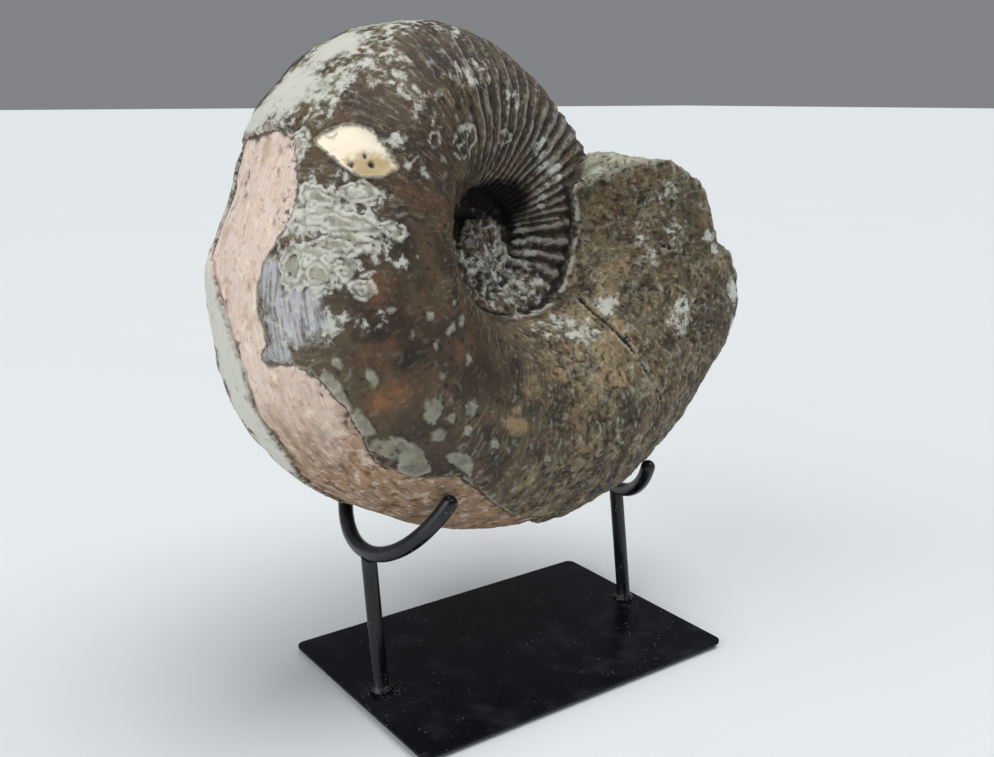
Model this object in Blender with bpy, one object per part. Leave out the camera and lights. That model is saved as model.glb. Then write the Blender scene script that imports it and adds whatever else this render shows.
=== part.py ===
"""A large inflated ammonite held upright by a black steel stand.

Metres, +Z up. The origin is the middle of the base plate's underside, +X runs along
the plate's long side from the front post to the rear post, and the side of the
fossil that shows its open umbilicus faces -Y.
"""

import math

import bmesh
import bpy
from mathutils import Matrix, Vector, noise

# Air left between pieces that touch
GAP = 0.0003

# Base plate and its feet
PLATE_LENGTH = 0.300
PLATE_DEPTH = 0.206
PLATE_THICKNESS = 0.003
PLATE_CORNER_RADIUS = 0.007
PLATE_EDGE_ROUNDING = 0.0006
FOOT_RADIUS = 0.009
FOOT_HEIGHT = 0.0036
FOOT_EDGE_ROUNDING = 0.0008
FOOT_INSET = 0.017

# Round bar of the posts and cradles
ROD_RADIUS = 0.006
ROD_SIDES = 16
WELD_RADIUS = 0.0085
WELD_HEIGHT = 0.005

# Each cradle is an arc of bar: lowest point, arc radius, heading of its chord, lean of
# its plane, roll in its plane, and the sweep of its near and far arms, in degrees
FRONT_POST_FOOT = (-0.1283, -0.0057)
FRONT_CRADLE = {
    "lowest": (-0.1347, -0.0032, 0.1197),
    "radius": 0.0872,
    "heading": -6.8,
    "lean": 31.5,
    "roll": -10.0,
    "near_sweep": 66.7,
    "far_sweep": 59.6,
}
REAR_POST_FOOT = (0.1352, 0.0063)
REAR_CRADLE = {
    "lowest": (0.1249, 0.0101, 0.1134),
    "radius": 0.0693,
    "heading": -11.1,
    "lean": -6.8,
    "roll": -2.5,
    "near_sweep": 60.5,
    "far_sweep": 59.8,
}
ARC_STEPS = 16
ROD_END_ROUNDING = ((0.0022, 0.97), (0.0042, 0.82), (0.0055, 0.55), (0.0060, 0.22))

# Shell: an equiangular spiral about an axis across the disc. The angle along the
# whorl is 0 at the broken mouth and negative towards the older whorls.
SHELL_CENTRE = (-0.0319, 0.0320, 0.3402)
SHELL_TILT = -8.24
SHELL_YAW = 9.9
MOUTH_RADIUS = 0.2801
MOUTH_POLAR = 11.7
GROWTH_PER_RADIAN = 0.1068
HALF_HEIGHT_SHARE = 0.3966
HALF_WIDTH_SHARE = 0.4706
SECTION_POWER = 2.12
# Slight crushing of the disc: turns per round, cosine share, sine share
CRUSHING = ((2, 0.0077, -0.0043), (3, 0.0031, -0.0075), (4, -0.0055, 0.0162))
# The older whorls are a little slimmer than the spiral gives
SLIMMING = 0.030
SLIM_FROM = -275.0
SLIM_TO = -345.0
CORE_RADIUS = 0.018

# Ribs: fine on the older flank of the last whorl, coarse inside the umbilicus
RIB_PITCH = 6.5
RIB_HEIGHT = 0.0016
RIB_LAST = -225.0
RIB_SWEEP = 10.0
INNER_RIB_PITCH = 13.0
INNER_RIB_HEIGHT = 0.0024

# Weathered stone: lumps all over, and the outer layer flaked off the venter
LUMP_SIZE = 0.045
LUMP_HEIGHT = 0.0020
FLAKE_DEPTH = 0.0020
FLAKE_EDGE = 2.0
# Near edge of the flaked band: angle along the whorl and degrees from the venter
FLAKE_LINE = (
    (-222, 25), (-220, -15), (-210, -30), (-200, -26), (-190, -12), (-176, -10),
    (-170, -34), (-160, -40), (-150, -34), (-138, -46), (-120, -55), (-100, -35), (-90, 0),
)
FLAKE_FAR_EDGE = 36.0
# Swellings of matrix: angle, degrees from the venter, reach along, reach around, height
SWELLINGS = (
    (-150, 48, 26, 30, 0.0070),
    (-190, 50, 22, 28, 0.0025),
    (-112, 15, 30, 40, 0.0040),
    (-226, 32, 16, 30, 0.0050),
    (-40, -58, 22, 22, 0.0060),
)

# The broken mouth: degrees round the section and the angle where the shell ends there
MOUTH_ANGLE = 15.0
BREAK_LINE = (
    (-180, 13), (-145, 13), (-122, 13), (-113, 10), (-104, 3), (-95, -4), (-89, -16),
    (-60, -24), (-20, -27), (20, -30), (60, -20), (95, -8), (120, 6), (150, 13), (180, 13),
)
BREAK_JAGS = 3.0
BREAK_FADE = 45.0
SHELL_WALL = 0.004
# The stone in the mouth: share of the way out from its middle, and rise above the rim
MATRIX_PROFILE = ((0.95, -0.004), (0.82, 0.013), (0.60, 0.023), (0.34, 0.027), (0.12, 0.027))

# Fineness of the whorls, of the stone before it is thinned, and of the finished solid
RING_STEP = 4.0
SECTION_POINTS = 48
WHORL_OVERLAP = 14.0
STONE_GRAIN = 0.0030
AMMONITE_TRIANGLES = 7700


def remove_everything():
    for item in list(bpy.data.objects):
        bpy.data.objects.remove(item, do_unlink=True)


def make_material(name, colour, roughness, metallic):
    material = bpy.data.materials.new(name)
    material.use_nodes = True
    shader = material.node_tree.nodes["Principled BSDF"]
    shader.inputs["Base Color"].default_value = (*colour, 1.0)
    shader.inputs["Roughness"].default_value = roughness
    shader.inputs["Metallic"].default_value = metallic
    material.diffuse_color = (*colour, 1.0)
    return material


def stone_material():
    return make_material("fossil_stone", (0.20, 0.15, 0.11), 0.62, 0.0)


def paint_material():
    return make_material("black_paint", (0.012, 0.014, 0.022), 0.38, 0.1)


def rubber_material():
    return make_material("black_rubber", (0.02, 0.02, 0.02), 0.8, 0.0)


def add_object(name, data, material):
    item = bpy.data.objects.new(name, data)
    bpy.context.scene.collection.objects.link(item)
    data.materials.append(material)
    return item


def finish_mesh(bm, name, material, smooth_angle):
    bmesh.ops.recalc_face_normals(bm, faces=bm.faces)
    mesh = bpy.data.meshes.new(name)
    bm.to_mesh(mesh)
    bm.free()
    mesh.shade_smooth()
    mesh.set_sharp_from_angle(angle=math.radians(smooth_angle))
    return add_object(name, mesh, material)


def make_base_plate(material):
    bm = bmesh.new()
    bmesh.ops.create_cube(bm, size=1.0)
    bmesh.ops.scale(bm, vec=(PLATE_LENGTH, PLATE_DEPTH, PLATE_THICKNESS), verts=bm.verts)
    bmesh.ops.translate(bm, vec=(0.0, 0.0, PLATE_THICKNESS / 2), verts=bm.verts)
    uprights = [e for e in bm.edges if abs(e.verts[0].co.z - e.verts[1].co.z) > PLATE_THICKNESS / 2]
    bmesh.ops.bevel(
        bm, geom=uprights, offset=PLATE_CORNER_RADIUS, segments=6, profile=0.5, affect="EDGES"
    )
    rims = [e for e in bm.edges if abs(e.verts[0].co.z - e.verts[1].co.z) < PLATE_THICKNESS / 2]
    bmesh.ops.bevel(bm, geom=rims, offset=PLATE_EDGE_ROUNDING, segments=2, profile=0.5, affect="EDGES")
    return finish_mesh(bm, "base_plate", material, 40.0)


def make_foot(name, x, y, material):
    bm = bmesh.new()
    bmesh.ops.create_cone(
        bm, cap_ends=True, segments=20, radius1=FOOT_RADIUS, radius2=FOOT_RADIUS, depth=FOOT_HEIGHT
    )
    rim = [e for e in bm.edges if e.verts[0].co.z < 0.0 and e.verts[1].co.z < 0.0]
    bmesh.ops.bevel(bm, geom=rim, offset=FOOT_EDGE_ROUNDING, segments=2, profile=0.5, affect="EDGES")
    bmesh.ops.translate(bm, vec=(x, y, -GAP - FOOT_HEIGHT / 2), verts=bm.verts)
    return finish_mesh(bm, name, material, 40.0)


def make_feet(material):
    reach_x = PLATE_LENGTH / 2 - FOOT_INSET
    reach_y = PLATE_DEPTH / 2 - FOOT_INSET
    for end, side_x in (("front", -1), ("rear", 1)):
        for side, side_y in (("near", -1), ("far", 1)):
            make_foot(f"foot_{end}_{side}", side_x * reach_x, side_y * reach_y, material)


def cradle_point(cradle, sweep):
    """The centre of the bar at a sweep angle, negative on the near arm."""
    radius = cradle["radius"]
    roll = math.radians(cradle["roll"])
    heading = math.radians(cradle["heading"])
    lean = math.radians(cradle["lean"])
    along = radius * math.sin(sweep)
    rise = radius * (1 - math.cos(sweep))
    across = along * math.cos(roll) - rise * math.sin(roll)
    height = along * math.sin(roll) + rise * math.cos(roll)
    chord = Vector((-math.sin(heading), math.cos(heading), 0.0))
    outward = Vector((math.cos(heading), math.sin(heading), 0.0))
    upward = Vector((0.0, 0.0, 1.0)) * math.cos(lean) + outward * math.sin(lean)
    return Vector(cradle["lowest"]) + chord * across + upward * height


def cradle_stations(cradle):
    """Points and bar shares along a cradle, with a dome at each end."""
    near = -math.radians(cradle["near_sweep"])
    far = math.radians(cradle["far_sweep"])
    radius = cradle["radius"]
    stations = []
    for reach, share in reversed(ROD_END_ROUNDING):
        stations.append((cradle_point(cradle, near - reach / radius), share))
    for step in range(ARC_STEPS + 1):
        stations.append((cradle_point(cradle, near + (far - near) * step / ARC_STEPS), 1.0))
    for reach, share in ROD_END_ROUNDING:
        stations.append((cradle_point(cradle, far + reach / radius), share))
    return stations


def make_bar(name, stations, bar_radius, material):
    curve = bpy.data.curves.new(name, "CURVE")
    curve.dimensions = "3D"
    curve.bevel_depth = bar_radius
    curve.bevel_resolution = ROD_SIDES // 4 - 1
    curve.use_fill_caps = True
    spline = curve.splines.new("POLY")
    spline.points.add(len(stations) - 1)
    for point, (place, share) in zip(spline.points, stations):
        point.co = (*place, 1.0)
        point.radius = share
    spline.use_smooth = True
    return add_object(name, curve, material)


def make_post(name, foot, cradle, material):
    """A leaning round post with a weld fillet at its foot and a coped top."""
    bottom = Vector((*foot, PLATE_THICKNESS + GAP))
    top = Vector(cradle["lowest"])
    axis = (top - bottom).normalized()
    length = (top - bottom).length
    bm = bmesh.new()
    ring = bmesh.ops.create_circle(bm, cap_ends=False, segments=ROD_SIDES, radius=WELD_RADIUS)["verts"]
    edges = list({e for v in ring for e in v.link_edges})
    profile = (
        (0.0012, WELD_RADIUS),
        (WELD_HEIGHT * 0.6, ROD_RADIUS * 1.12),
        (WELD_HEIGHT, ROD_RADIUS),
        (length, ROD_RADIUS),
    )
    first_loop = edges
    height = 0.0
    radius = WELD_RADIUS
    for next_height, next_radius in profile:
        made = bmesh.ops.extrude_edge_only(bm, edges=edges)["geom"]
        verts = [g for g in made if isinstance(g, bmesh.types.BMVert)]
        edges = [g for g in made if isinstance(g, bmesh.types.BMEdge)]
        share = next_radius / radius
        bmesh.ops.scale(bm, vec=(share, share, 1.0), verts=verts)
        bmesh.ops.translate(bm, vec=(0.0, 0.0, next_height - height), verts=verts)
        height, radius = next_height, next_radius
    bmesh.ops.contextual_create(bm, geom=first_loop)
    bmesh.ops.contextual_create(bm, geom=edges)
    shear = Matrix.Identity(4)
    shear[0][2] = axis.x / axis.z
    shear[1][2] = axis.y / axis.z
    shear[2][2] = (top.z - bottom.z) / length
    bmesh.ops.transform(bm, matrix=Matrix.Translation(bottom) @ shear, verts=bm.verts)
    post = finish_mesh(bm, name, material, 40.0)
    cutter = make_bar(name + "_cope", cradle_stations(cradle), ROD_RADIUS + GAP, material)
    cutter_mesh = evaluated_mesh(cutter)
    bpy.data.objects.remove(cutter, do_unlink=True)
    cutter = add_object(name + "_cope", cutter_mesh, material)
    cutter.hide_render = True
    cutter.display_type = "WIRE"
    cope = post.modifiers.new("cope", "BOOLEAN")
    cope.operation = "DIFFERENCE"
    cope.solver = "EXACT"
    cope.object = cutter
    return post


def smooth_step(low, high, value):
    share = min(1.0, max(0.0, (value - low) / (high - low)))
    return share * share * (3.0 - 2.0 * share)


def whorl_radius(angle):
    """Distance from the coiling axis to the venter, at an angle in degrees."""
    polar = math.radians(MOUTH_POLAR + angle)
    crushed = sum(c * math.cos(n * polar) + s * math.sin(n * polar) for n, c, s in CRUSHING)
    slimmed = SLIMMING * smooth_step(-SLIM_FROM, -SLIM_TO, -angle)
    return MOUTH_RADIUS * math.exp(GROWTH_PER_RADIAN * math.radians(angle) + crushed - slimmed)


def section_shares(around):
    """Outward and sideways shares of the section at an angle round it, 0 at the venter."""
    cosine = math.cos(math.radians(around))
    sine = math.sin(math.radians(around))
    power = 2.0 / SECTION_POWER
    outward = math.copysign(abs(cosine) ** power, cosine)
    sideways = math.copysign(abs(sine) ** power, sine)
    return outward, sideways


def shell_point(angle, around, shrink=1.0):
    """A point of the smooth shell in the stand's frame."""
    outward, sideways = section_shares(around)
    radius = whorl_radius(angle)
    polar = math.radians(MOUTH_POLAR + angle)
    reach = radius * (1.0 - HALF_HEIGHT_SHARE + HALF_HEIGHT_SHARE * shrink * outward)
    across = radius * HALF_WIDTH_SHARE * shrink * sideways
    return SHELL_FRAME @ Vector((reach * math.cos(polar), across, reach * math.sin(polar)))


def shell_frame():
    turn = Matrix.Rotation(math.radians(SHELL_YAW), 4, "Z")
    tilt = Matrix.Rotation(math.radians(SHELL_TILT), 4, "X")
    return Matrix.Translation(SHELL_CENTRE) @ turn @ tilt


SHELL_FRAME = shell_frame()
SHELL_FROM_STAND = SHELL_FRAME.inverted()


def along_line(line, place):
    """The value of a line of (place, value) points, or None past its ends."""
    for (first, start), (last, stop) in zip(line, line[1:]):
        if first <= place <= last:
            return start + (stop - start) * (place - first) / (last - first)
    return None


def broken_end(around):
    """The angle where the broken shell ends, at an angle round the section."""
    jag = noise.noise(Vector((math.cos(math.radians(around)), math.sin(math.radians(around)), 0.4)) * 5.0)
    return along_line(BREAK_LINE, around) + BREAK_JAGS * jag


def shell_place(point):
    """Angle along the whorl, degrees round the section, and how far off the shell a point is."""
    local = SHELL_FROM_STAND @ point
    turned = (math.degrees(math.atan2(local.z, local.x)) - MOUTH_POLAR) % 360.0
    reach = math.hypot(local.x, local.z)
    best = None
    for turn in (1, 2, 3):
        angle = turned - 360.0 * turn
        radius = whorl_radius(angle)
        outward = (reach / radius - 1.0 + HALF_HEIGHT_SHARE) / HALF_HEIGHT_SHARE
        sideways = local.y / (radius * HALF_WIDTH_SHARE)
        level = (abs(outward) ** SECTION_POWER + abs(sideways) ** SECTION_POWER) ** (1.0 / SECTION_POWER)
        off = abs(level - 1.0) * radius * HALF_HEIGHT_SHARE
        if best is None or off < best[2]:
            share = SECTION_POWER / 2.0
            cosine = math.copysign(abs(outward) ** share, outward)
            sine = math.copysign(abs(sideways) ** share, sideways)
            best = (angle, math.degrees(math.atan2(sine, cosine)), off)
    return best


def rib_relief(angle, around):
    flank = smooth_step(20.0, 65.0, abs(around))
    if angle < -360.0:
        wave = math.cos(2.0 * math.pi * angle / INNER_RIB_PITCH)
        return INNER_RIB_HEIGHT * wave * flank
    swept = angle + RIB_SWEEP * math.cos(math.radians(around))
    fade = 1.0 - smooth_step(RIB_LAST - 50.0, RIB_LAST, angle)
    return RIB_HEIGHT * math.cos(2.0 * math.pi * swept / RIB_PITCH) * fade * flank


def flake_relief(angle, around):
    edge = along_line(FLAKE_LINE, angle)
    if edge is None:
        return 0.0
    inside = smooth_step(edge - FLAKE_EDGE, edge + FLAKE_EDGE, around)
    return -FLAKE_DEPTH * inside * (1.0 - smooth_step(FLAKE_FAR_EDGE, FLAKE_FAR_EDGE + FLAKE_EDGE, around))


def swelling_relief(angle, around):
    rise = 0.0
    for middle, centre, reach_along, reach_around, height in SWELLINGS:
        off = ((angle - middle) / reach_along) ** 2 + ((around - centre) / reach_around) ** 2
        rise += height * math.exp(-off)
    return rise


def carve_relief(mesh):
    """Moves the fine surface of the stone out to its ribs and lumps and in to its flakes."""
    moves = []
    for vert in mesh.vertices:
        relief = LUMP_HEIGHT * noise.fractal(vert.co / LUMP_SIZE, 0.8, 2.1, 3)
        angle, around, off = shell_place(vert.co)
        if off < LUMP_SIZE / 10.0:
            relief += rib_relief(angle, around) + flake_relief(angle, around)
            relief += swelling_relief(angle, around)
        moves.append(vert.normal * relief)
    for vert, move in zip(mesh.vertices, moves):
        vert.co += move


def place_ring(verts, angle, shrink, mouth):
    for index, vert in enumerate(verts):
        around = 360.0 * index / SECTION_POINTS
        if around > 180.0:
            around -= 360.0
        end = angle
        if mouth and angle > -BREAK_FADE:
            share = (angle + BREAK_FADE) / (MOUTH_ANGLE + BREAK_FADE)
            end = -BREAK_FADE + share * (broken_end(around) + BREAK_FADE)
        vert.co = shell_point(end, around, shrink)


def extrude_ring(bm, verts):
    """The next ring, as vertices in the same order as the ring it grew from."""
    edges = [bm.edges.get((verts[i - 1], verts[i])) for i in range(len(verts))]
    made = bmesh.ops.extrude_edge_only(bm, edges=edges)["geom"]
    new = {v for v in made if isinstance(v, bmesh.types.BMVert)}
    following = []
    for vert in verts:
        following.append(next(e.other_vert(vert) for e in vert.link_edges if e.other_vert(vert) in new))
    return following


def close_mouth(bm, verts):
    """The rough stone that fills the broken mouth, behind a lip of shell wall."""
    middle = sum((v.co for v in verts), Vector()) / len(verts)
    forward = (shell_point(0.0, 0.0) - shell_point(-4.0, 0.0)).normalized()
    lip = 1.0 - SHELL_WALL / (whorl_radius(0.0) * HALF_WIDTH_SHARE)
    rim = [v.co.copy() for v in verts]
    for share, rise in ((lip, -0.001), *MATRIX_PROFILE):
        verts = extrude_ring(bm, verts)
        for vert, edge in zip(verts, rim):
            vert.co = middle + (edge - middle) * share + forward * rise
    bm.faces.new(verts)


def add_whorl(bm, first, last, mouth):
    """One closed tube of shell, ring by ring along the spiral."""
    steps = round((last - first) / RING_STEP)
    verts = bmesh.ops.create_circle(bm, cap_ends=True, segments=SECTION_POINTS, radius=1.0)["verts"]
    for step in range(steps + 1):
        angle = first + (last - first) * step / steps
        if step:
            verts = extrude_ring(bm, verts)
        shrink = 1.0 if mouth else 1.0 - 0.05 * smooth_step(last - WHORL_OVERLAP, last, angle)
        place_ring(verts, angle, shrink, mouth)
    if mouth:
        close_mouth(bm, verts)
    else:
        bm.faces.new(verts)


def evaluated_mesh(item):
    graph = bpy.context.evaluated_depsgraph_get()
    return bpy.data.meshes.new_from_object(item.evaluated_get(graph))


def make_ammonite(material):
    """Three turns of whorl grown into one stone, carved, then thinned to its main forms."""
    bm = bmesh.new()
    add_whorl(bm, -360.0, MOUTH_ANGLE, True)
    add_whorl(bm, -720.0, -360.0 + WHORL_OVERLAP, False)
    add_whorl(bm, -1080.0, -720.0 + WHORL_OVERLAP, False)
    bmesh.ops.create_icosphere(bm, subdivisions=3, radius=CORE_RADIUS, matrix=SHELL_FRAME)
    ammonite = finish_mesh(bm, "ammonite", material, 50.0)
    grow = ammonite.modifiers.new("grow_together", "REMESH")
    grow.mode = "VOXEL"
    grow.voxel_size = STONE_GRAIN
    stone = evaluated_mesh(ammonite)
    ammonite.modifiers.clear()
    ammonite.data = stone
    carve_relief(stone)
    stone.calc_loop_triangles()
    thin = ammonite.modifiers.new("thin", "DECIMATE")
    thin.ratio = AMMONITE_TRIANGLES / len(stone.loop_triangles)
    return ammonite


def main():
    remove_everything()
    paint = paint_material()
    make_base_plate(paint)
    make_feet(rubber_material())
    make_post("front_post", FRONT_POST_FOOT, FRONT_CRADLE, paint)
    make_post("rear_post", REAR_POST_FOOT, REAR_CRADLE, paint)
    make_bar("front_cradle", cradle_stations(FRONT_CRADLE), ROD_RADIUS, paint)
    make_bar("rear_cradle", cradle_stations(REAR_CRADLE), ROD_RADIUS, paint)
    make_ammonite(stone_material())


if __name__ == "__main__":
    main()
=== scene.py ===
"""The looks of a large ammonite fossil on its black steel stand, laid out as a Blender add-on.

Metres, +Z up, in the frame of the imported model: the origin is the middle of the base
plate's underside, and the side of the fossil with the open umbilicus faces -Y.
"""

import math

import bmesh
import bpy
import numpy as np
from bpy.props import FloatProperty, FloatVectorProperty, IntProperty, PointerProperty
from mathutils import Matrix, Vector, noise


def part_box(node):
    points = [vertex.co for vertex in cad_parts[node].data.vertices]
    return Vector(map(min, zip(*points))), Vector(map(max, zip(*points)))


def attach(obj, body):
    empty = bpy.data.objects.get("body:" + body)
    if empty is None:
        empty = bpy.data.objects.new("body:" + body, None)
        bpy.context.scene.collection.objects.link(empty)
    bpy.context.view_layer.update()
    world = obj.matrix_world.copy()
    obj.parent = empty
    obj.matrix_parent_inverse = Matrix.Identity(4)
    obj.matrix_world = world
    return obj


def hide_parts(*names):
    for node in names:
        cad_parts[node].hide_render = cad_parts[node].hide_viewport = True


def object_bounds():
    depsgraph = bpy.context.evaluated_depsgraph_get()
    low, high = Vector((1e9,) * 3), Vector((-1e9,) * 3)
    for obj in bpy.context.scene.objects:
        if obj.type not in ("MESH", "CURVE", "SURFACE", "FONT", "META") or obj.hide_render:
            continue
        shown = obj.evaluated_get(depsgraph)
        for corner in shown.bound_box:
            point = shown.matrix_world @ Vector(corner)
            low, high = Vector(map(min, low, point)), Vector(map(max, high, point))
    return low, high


bl_info = {
    "name": "Ammonite on its stand",
    "version": (1, 0, 0),
    "blender": (4, 5, 0),
    "location": "3D View > Sidebar > Ammonite",
    "description": "Builds the stone, the stand and the stage of an ammonite on display",
    "category": "Add Mesh",
}

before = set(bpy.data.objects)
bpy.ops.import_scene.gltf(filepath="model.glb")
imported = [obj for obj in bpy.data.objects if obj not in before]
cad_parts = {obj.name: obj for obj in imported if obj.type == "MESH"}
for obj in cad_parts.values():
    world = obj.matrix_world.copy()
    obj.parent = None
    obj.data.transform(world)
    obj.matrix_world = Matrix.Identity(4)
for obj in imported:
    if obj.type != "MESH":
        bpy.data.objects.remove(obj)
CAD_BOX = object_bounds()

GAP = 0.0003
PLATE_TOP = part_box("base_plate")[1].z
FLOOR_HEIGHT = CAD_BOX[0].z

# Round bar of the posts and cradles, as in the solids
ROD_RADIUS = 0.006
WELD_RADIUS = 0.0085
WELD_HEIGHT = 0.005
POST_SIDES = 48
POST_LENGTHS = 8
DOME_STEP = 12
WELD_PROFILE = (
    (0.0, WELD_RADIUS), (0.0009, WELD_RADIUS * 1.02), (0.0018, WELD_RADIUS * 0.97),
    (0.0028, ROD_RADIUS * 1.24), (0.0038, ROD_RADIUS * 1.10), (WELD_HEIGHT, ROD_RADIUS),
)
POST_FEET = {"front": (-0.1283, -0.0057), "rear": (0.1352, 0.0063)}
CRADLES = {
    "front": {
        "lowest": (-0.1347, -0.0032, 0.1197),
        "radius": 0.0872,
        "heading": -6.8,
        "lean": 31.5,
        "roll": -10.0,
        "near_sweep": 66.7,
        "far_sweep": 59.6,
    },
    "rear": {
        "lowest": (0.1249, 0.0101, 0.1134),
        "radius": 0.0693,
        "heading": -11.1,
        "lean": -6.8,
        "roll": -2.5,
        "near_sweep": 60.5,
        "far_sweep": 59.8,
    },
}

# Shell: an equiangular spiral, with the angle along the whorl 0 at the broken mouth
SHELL_CENTRE = (-0.0319, 0.0320, 0.3402)
SHELL_TILT = -8.24
SHELL_YAW = 9.9
MOUTH_RADIUS = 0.2801
MOUTH_POLAR = 11.7
GROWTH_PER_RADIAN = 0.1068
HALF_HEIGHT_SHARE = 0.3966
HALF_WIDTH_SHARE = 0.4706
SECTION_POWER = 2.12
CRUSHING = ((2, 0.0077, -0.0043), (3, 0.0031, -0.0075), (4, -0.0055, 0.0162))
SLIMMING = 0.072
SLIM_FROM = -255.0
SLIM_TO = -345.0
CORE_RADIUS = 0.018
WHORL_OVERLAP = 14.0
WHORL_TUCK = 0.05
RING_STEP = 2.5
RING_SIDES = 96

# Broken mouth: degrees round the section and the angle where the shell ends there
MOUTH_ANGLE = 15.0
BREAK_LINE = (
    (-180, 13), (-150, 14), (-135, 16), (-122, 15), (-113, 11), (-104, 3), (-95, -4), (-89, -16),
    (-60, -24), (-20, -27), (20, -30), (60, -20), (95, -8), (120, 6), (150, 13), (180, 13),
)
BREAK_JAGS = 3.0
FINE_JAGS = 1.0
BREAK_FADE = 45.0
SHELL_WALL = 0.004
MATRIX_PROFILE = (
    (0.95, -0.004), (0.90, 0.002), (0.82, 0.007), (0.71, 0.011), (0.60, 0.013),
    (0.46, 0.014), (0.34, 0.014), (0.22, 0.014), (0.10, 0.014),
)
MATRIX_BULGE = 0.040

# Ribs and growth lines, in degrees along the whorl and metres
RIB_PITCH = 6.5
RIB_HEIGHT = 0.0016
RIB_LAST = -225.0
RIB_FADE = 50.0
RIB_SWEEP = 10.0
GROWTH_LINE_PITCH = 2.1
GROWTH_LINE_HEIGHT = 0.00035
INNER_RIB_PITCH = 13.0
INNER_RIB_HEIGHT = 0.0022
INNER_RIBS_FADE = (-425.0, -385.0)
HOLLOW_SINK = 0.005
# Angles over which the inner whorls sink, and over which their colour is darkened as painted shade
HOLLOW_SINKS = (-500.0, -590.0)

# Crumbled stone left in the lower half of the umbilicus: its place and half sizes in the shell's own frame,
# and the heights between which it turns darker as painted shade under the outer whorl
FILLING_PLACE = (-0.006, -0.016, -0.016)
FILLING_SIZE = (0.042, 0.026, 0.040)
FILLING_ROUGHNESS = 0.0042
FILLING_SHADE_HEIGHTS = (-0.020, 0.016)

# Lumps and swellings: angle, degrees from the venter, reach along, reach around, height
LUMP_SIZE = 0.045
LUMP_HEIGHT = 0.0020
SURFACE_REACH = 0.0045
SWELLINGS = (
    (-150, 48, 26, 30, 0.0070),
    (-194, 32, 6, 12, 0.0050),
    (-186, 28, 6, 12, 0.0020),
    (-210, 20, 9, 30, -0.0062),
    (-112, 15, 30, 40, 0.0040),
    (-230, 26, 9, 24, 0.0030),
    (-40, -58, 22, 22, 0.0060),
    (-34, -64, 9, 13, 0.0080),
    (-62, -22, 14, 34, -0.0040),
)

# Band along the venter where the outer layer has flaked off: its near edge and far edge
FLAKE_DEPTH = 0.0026
FLAKE_LINE = (
    (-222, 25), (-222, -6), (-220, -18), (-214, -25), (-207, -30), (-202, -28), (-197, -21),
    (-193, -15), (-188, -11), (-183, -13), (-178, -14), (-175, -8), (-174, -24), (-170, -34),
    (-163, -40), (-156, -39), (-149, -34), (-138, -46), (-133, -54), (-125, -51), (-112, -40),
    (-100, -30), (-90, 0),
)
FLAKE_FAR_LINE = (
    (-222, 36), (-200, 36), (-194, 26), (-187, 16), (-181, 11), (-174, 5), (-166, 7), (-158, 6),
    (-150, 9), (-143, 16), (-130, 24), (-110, 28), (-90, 6),
)
FLAKE_TURNS_TAN = (-178.0, -146.0)
MOTTLED_FROM = (-128.0, -96.0)

# Ivory patch: corner points, its three borings and its worn side
IVORY_OUTLINE = (
    (-219, -32), (-222, -38), (-224, -46), (-224, -57), (-220, -68), (-217, -75), (-213, -67),
    (-212, -58), (-214, -48), (-216, -41), (-218, -33),
)
IVORY_DEPTH = 0.0009
IVORY_PITS = ((-214.6, -52, 0.0026), (-215.6, -62, 0.0028), (-217.5, -57.5, 0.0018))
IVORY_WORN = (-214.5, -65, 0.011, 0.022, 1.3)

# Suture tongues: angle, degrees round, half length, half width, turn from across the whorl
SUTURE_TONGUES = (
    (-201, -49, 0.031, 0.0075, 4),
    (-195.5, -49, 0.025, 0.0065, -6),
    (-192, -31, 0.010, 0.015, 0),
    (-190, -42, 0.011, 0.008, 20),
    (-190, -53, 0.009, 0.006, -15),
    (-199, -77, 0.010, 0.0050, 10),
    (-206, -40, 0.015, 0.0070, 15),
    (-208, -58, 0.012, 0.0060, -10),
    (-203, -24, 0.008, 0.0100, 0),
    (-217, -23, 0.008, 0.0120, 0),
    (-185, -62, 0.008, 0.0060, 25),
)

# Islands of grey shell left on the dark flank: angle, degrees round, half length, half width
SHELL_ISLANDS = (
    (-166, -37, 0.015, 0.010), (-172, -44, 0.005, 0.004), (-166.5, -56, 0.009, 0.0026),
    (-159, -41, 0.013, 0.008), (-152, -70, 0.007, 0.009), (-146, -74, 0.004, 0.004),
    (-142, -83, 0.005, 0.006), (-146, -65, 0.007, 0.005), (-151, -43, 0.013, 0.006),
    (-145, -47, 0.014, 0.011), (-140, -74, 0.004, 0.004), (-135, -61, 0.014, 0.007),
    (-150, -50, 0.007, 0.006), (-179, -73, 0.003, 0.003), (-165, -98, 0.003, 0.005),
    (-164, -88, 0.003, 0.003), (-163, -107, 0.003, 0.006), (-171, -80, 0.003, 0.002),
    (-171, -108, 0.002, 0.004), (-173, -90, 0.003, 0.003), (-152, -98, 0.003, 0.004),
    (-130, -75, 0.005, 0.004), (-156, -83, 0.003, 0.003),
)

# Rings left by encrusting shells: angle, degrees round, half length, half width
RINGS = (
    (-244, -104, 0.010, 0.014), (-244, -101, 0.004, 0.010), (-276, -112, 0.005, 0.007),
    (-201, -22, 0.0045, 0.0050), (-196, -21, 0.0040, 0.0045), (-221, -38, 0.0035, 0.0030),
    (-310, -104, 0.004, 0.006), (-232, -88, 0.004, 0.006),
)

# Cracks, as points along the whorl and round it
CRACKS = (
    ((-55, -141), (-58, -136), (-61, -127), (-64, -112)),
    ((-64, -112), (-66, -99), (-67, -83)),
    ((-18, -126), (-21, -112), (-19, -100)),
)
CRACK_WIDTHS = (0.0013, 0.0007, 0.0005)
CRACK_DEPTH = 0.0030
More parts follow.
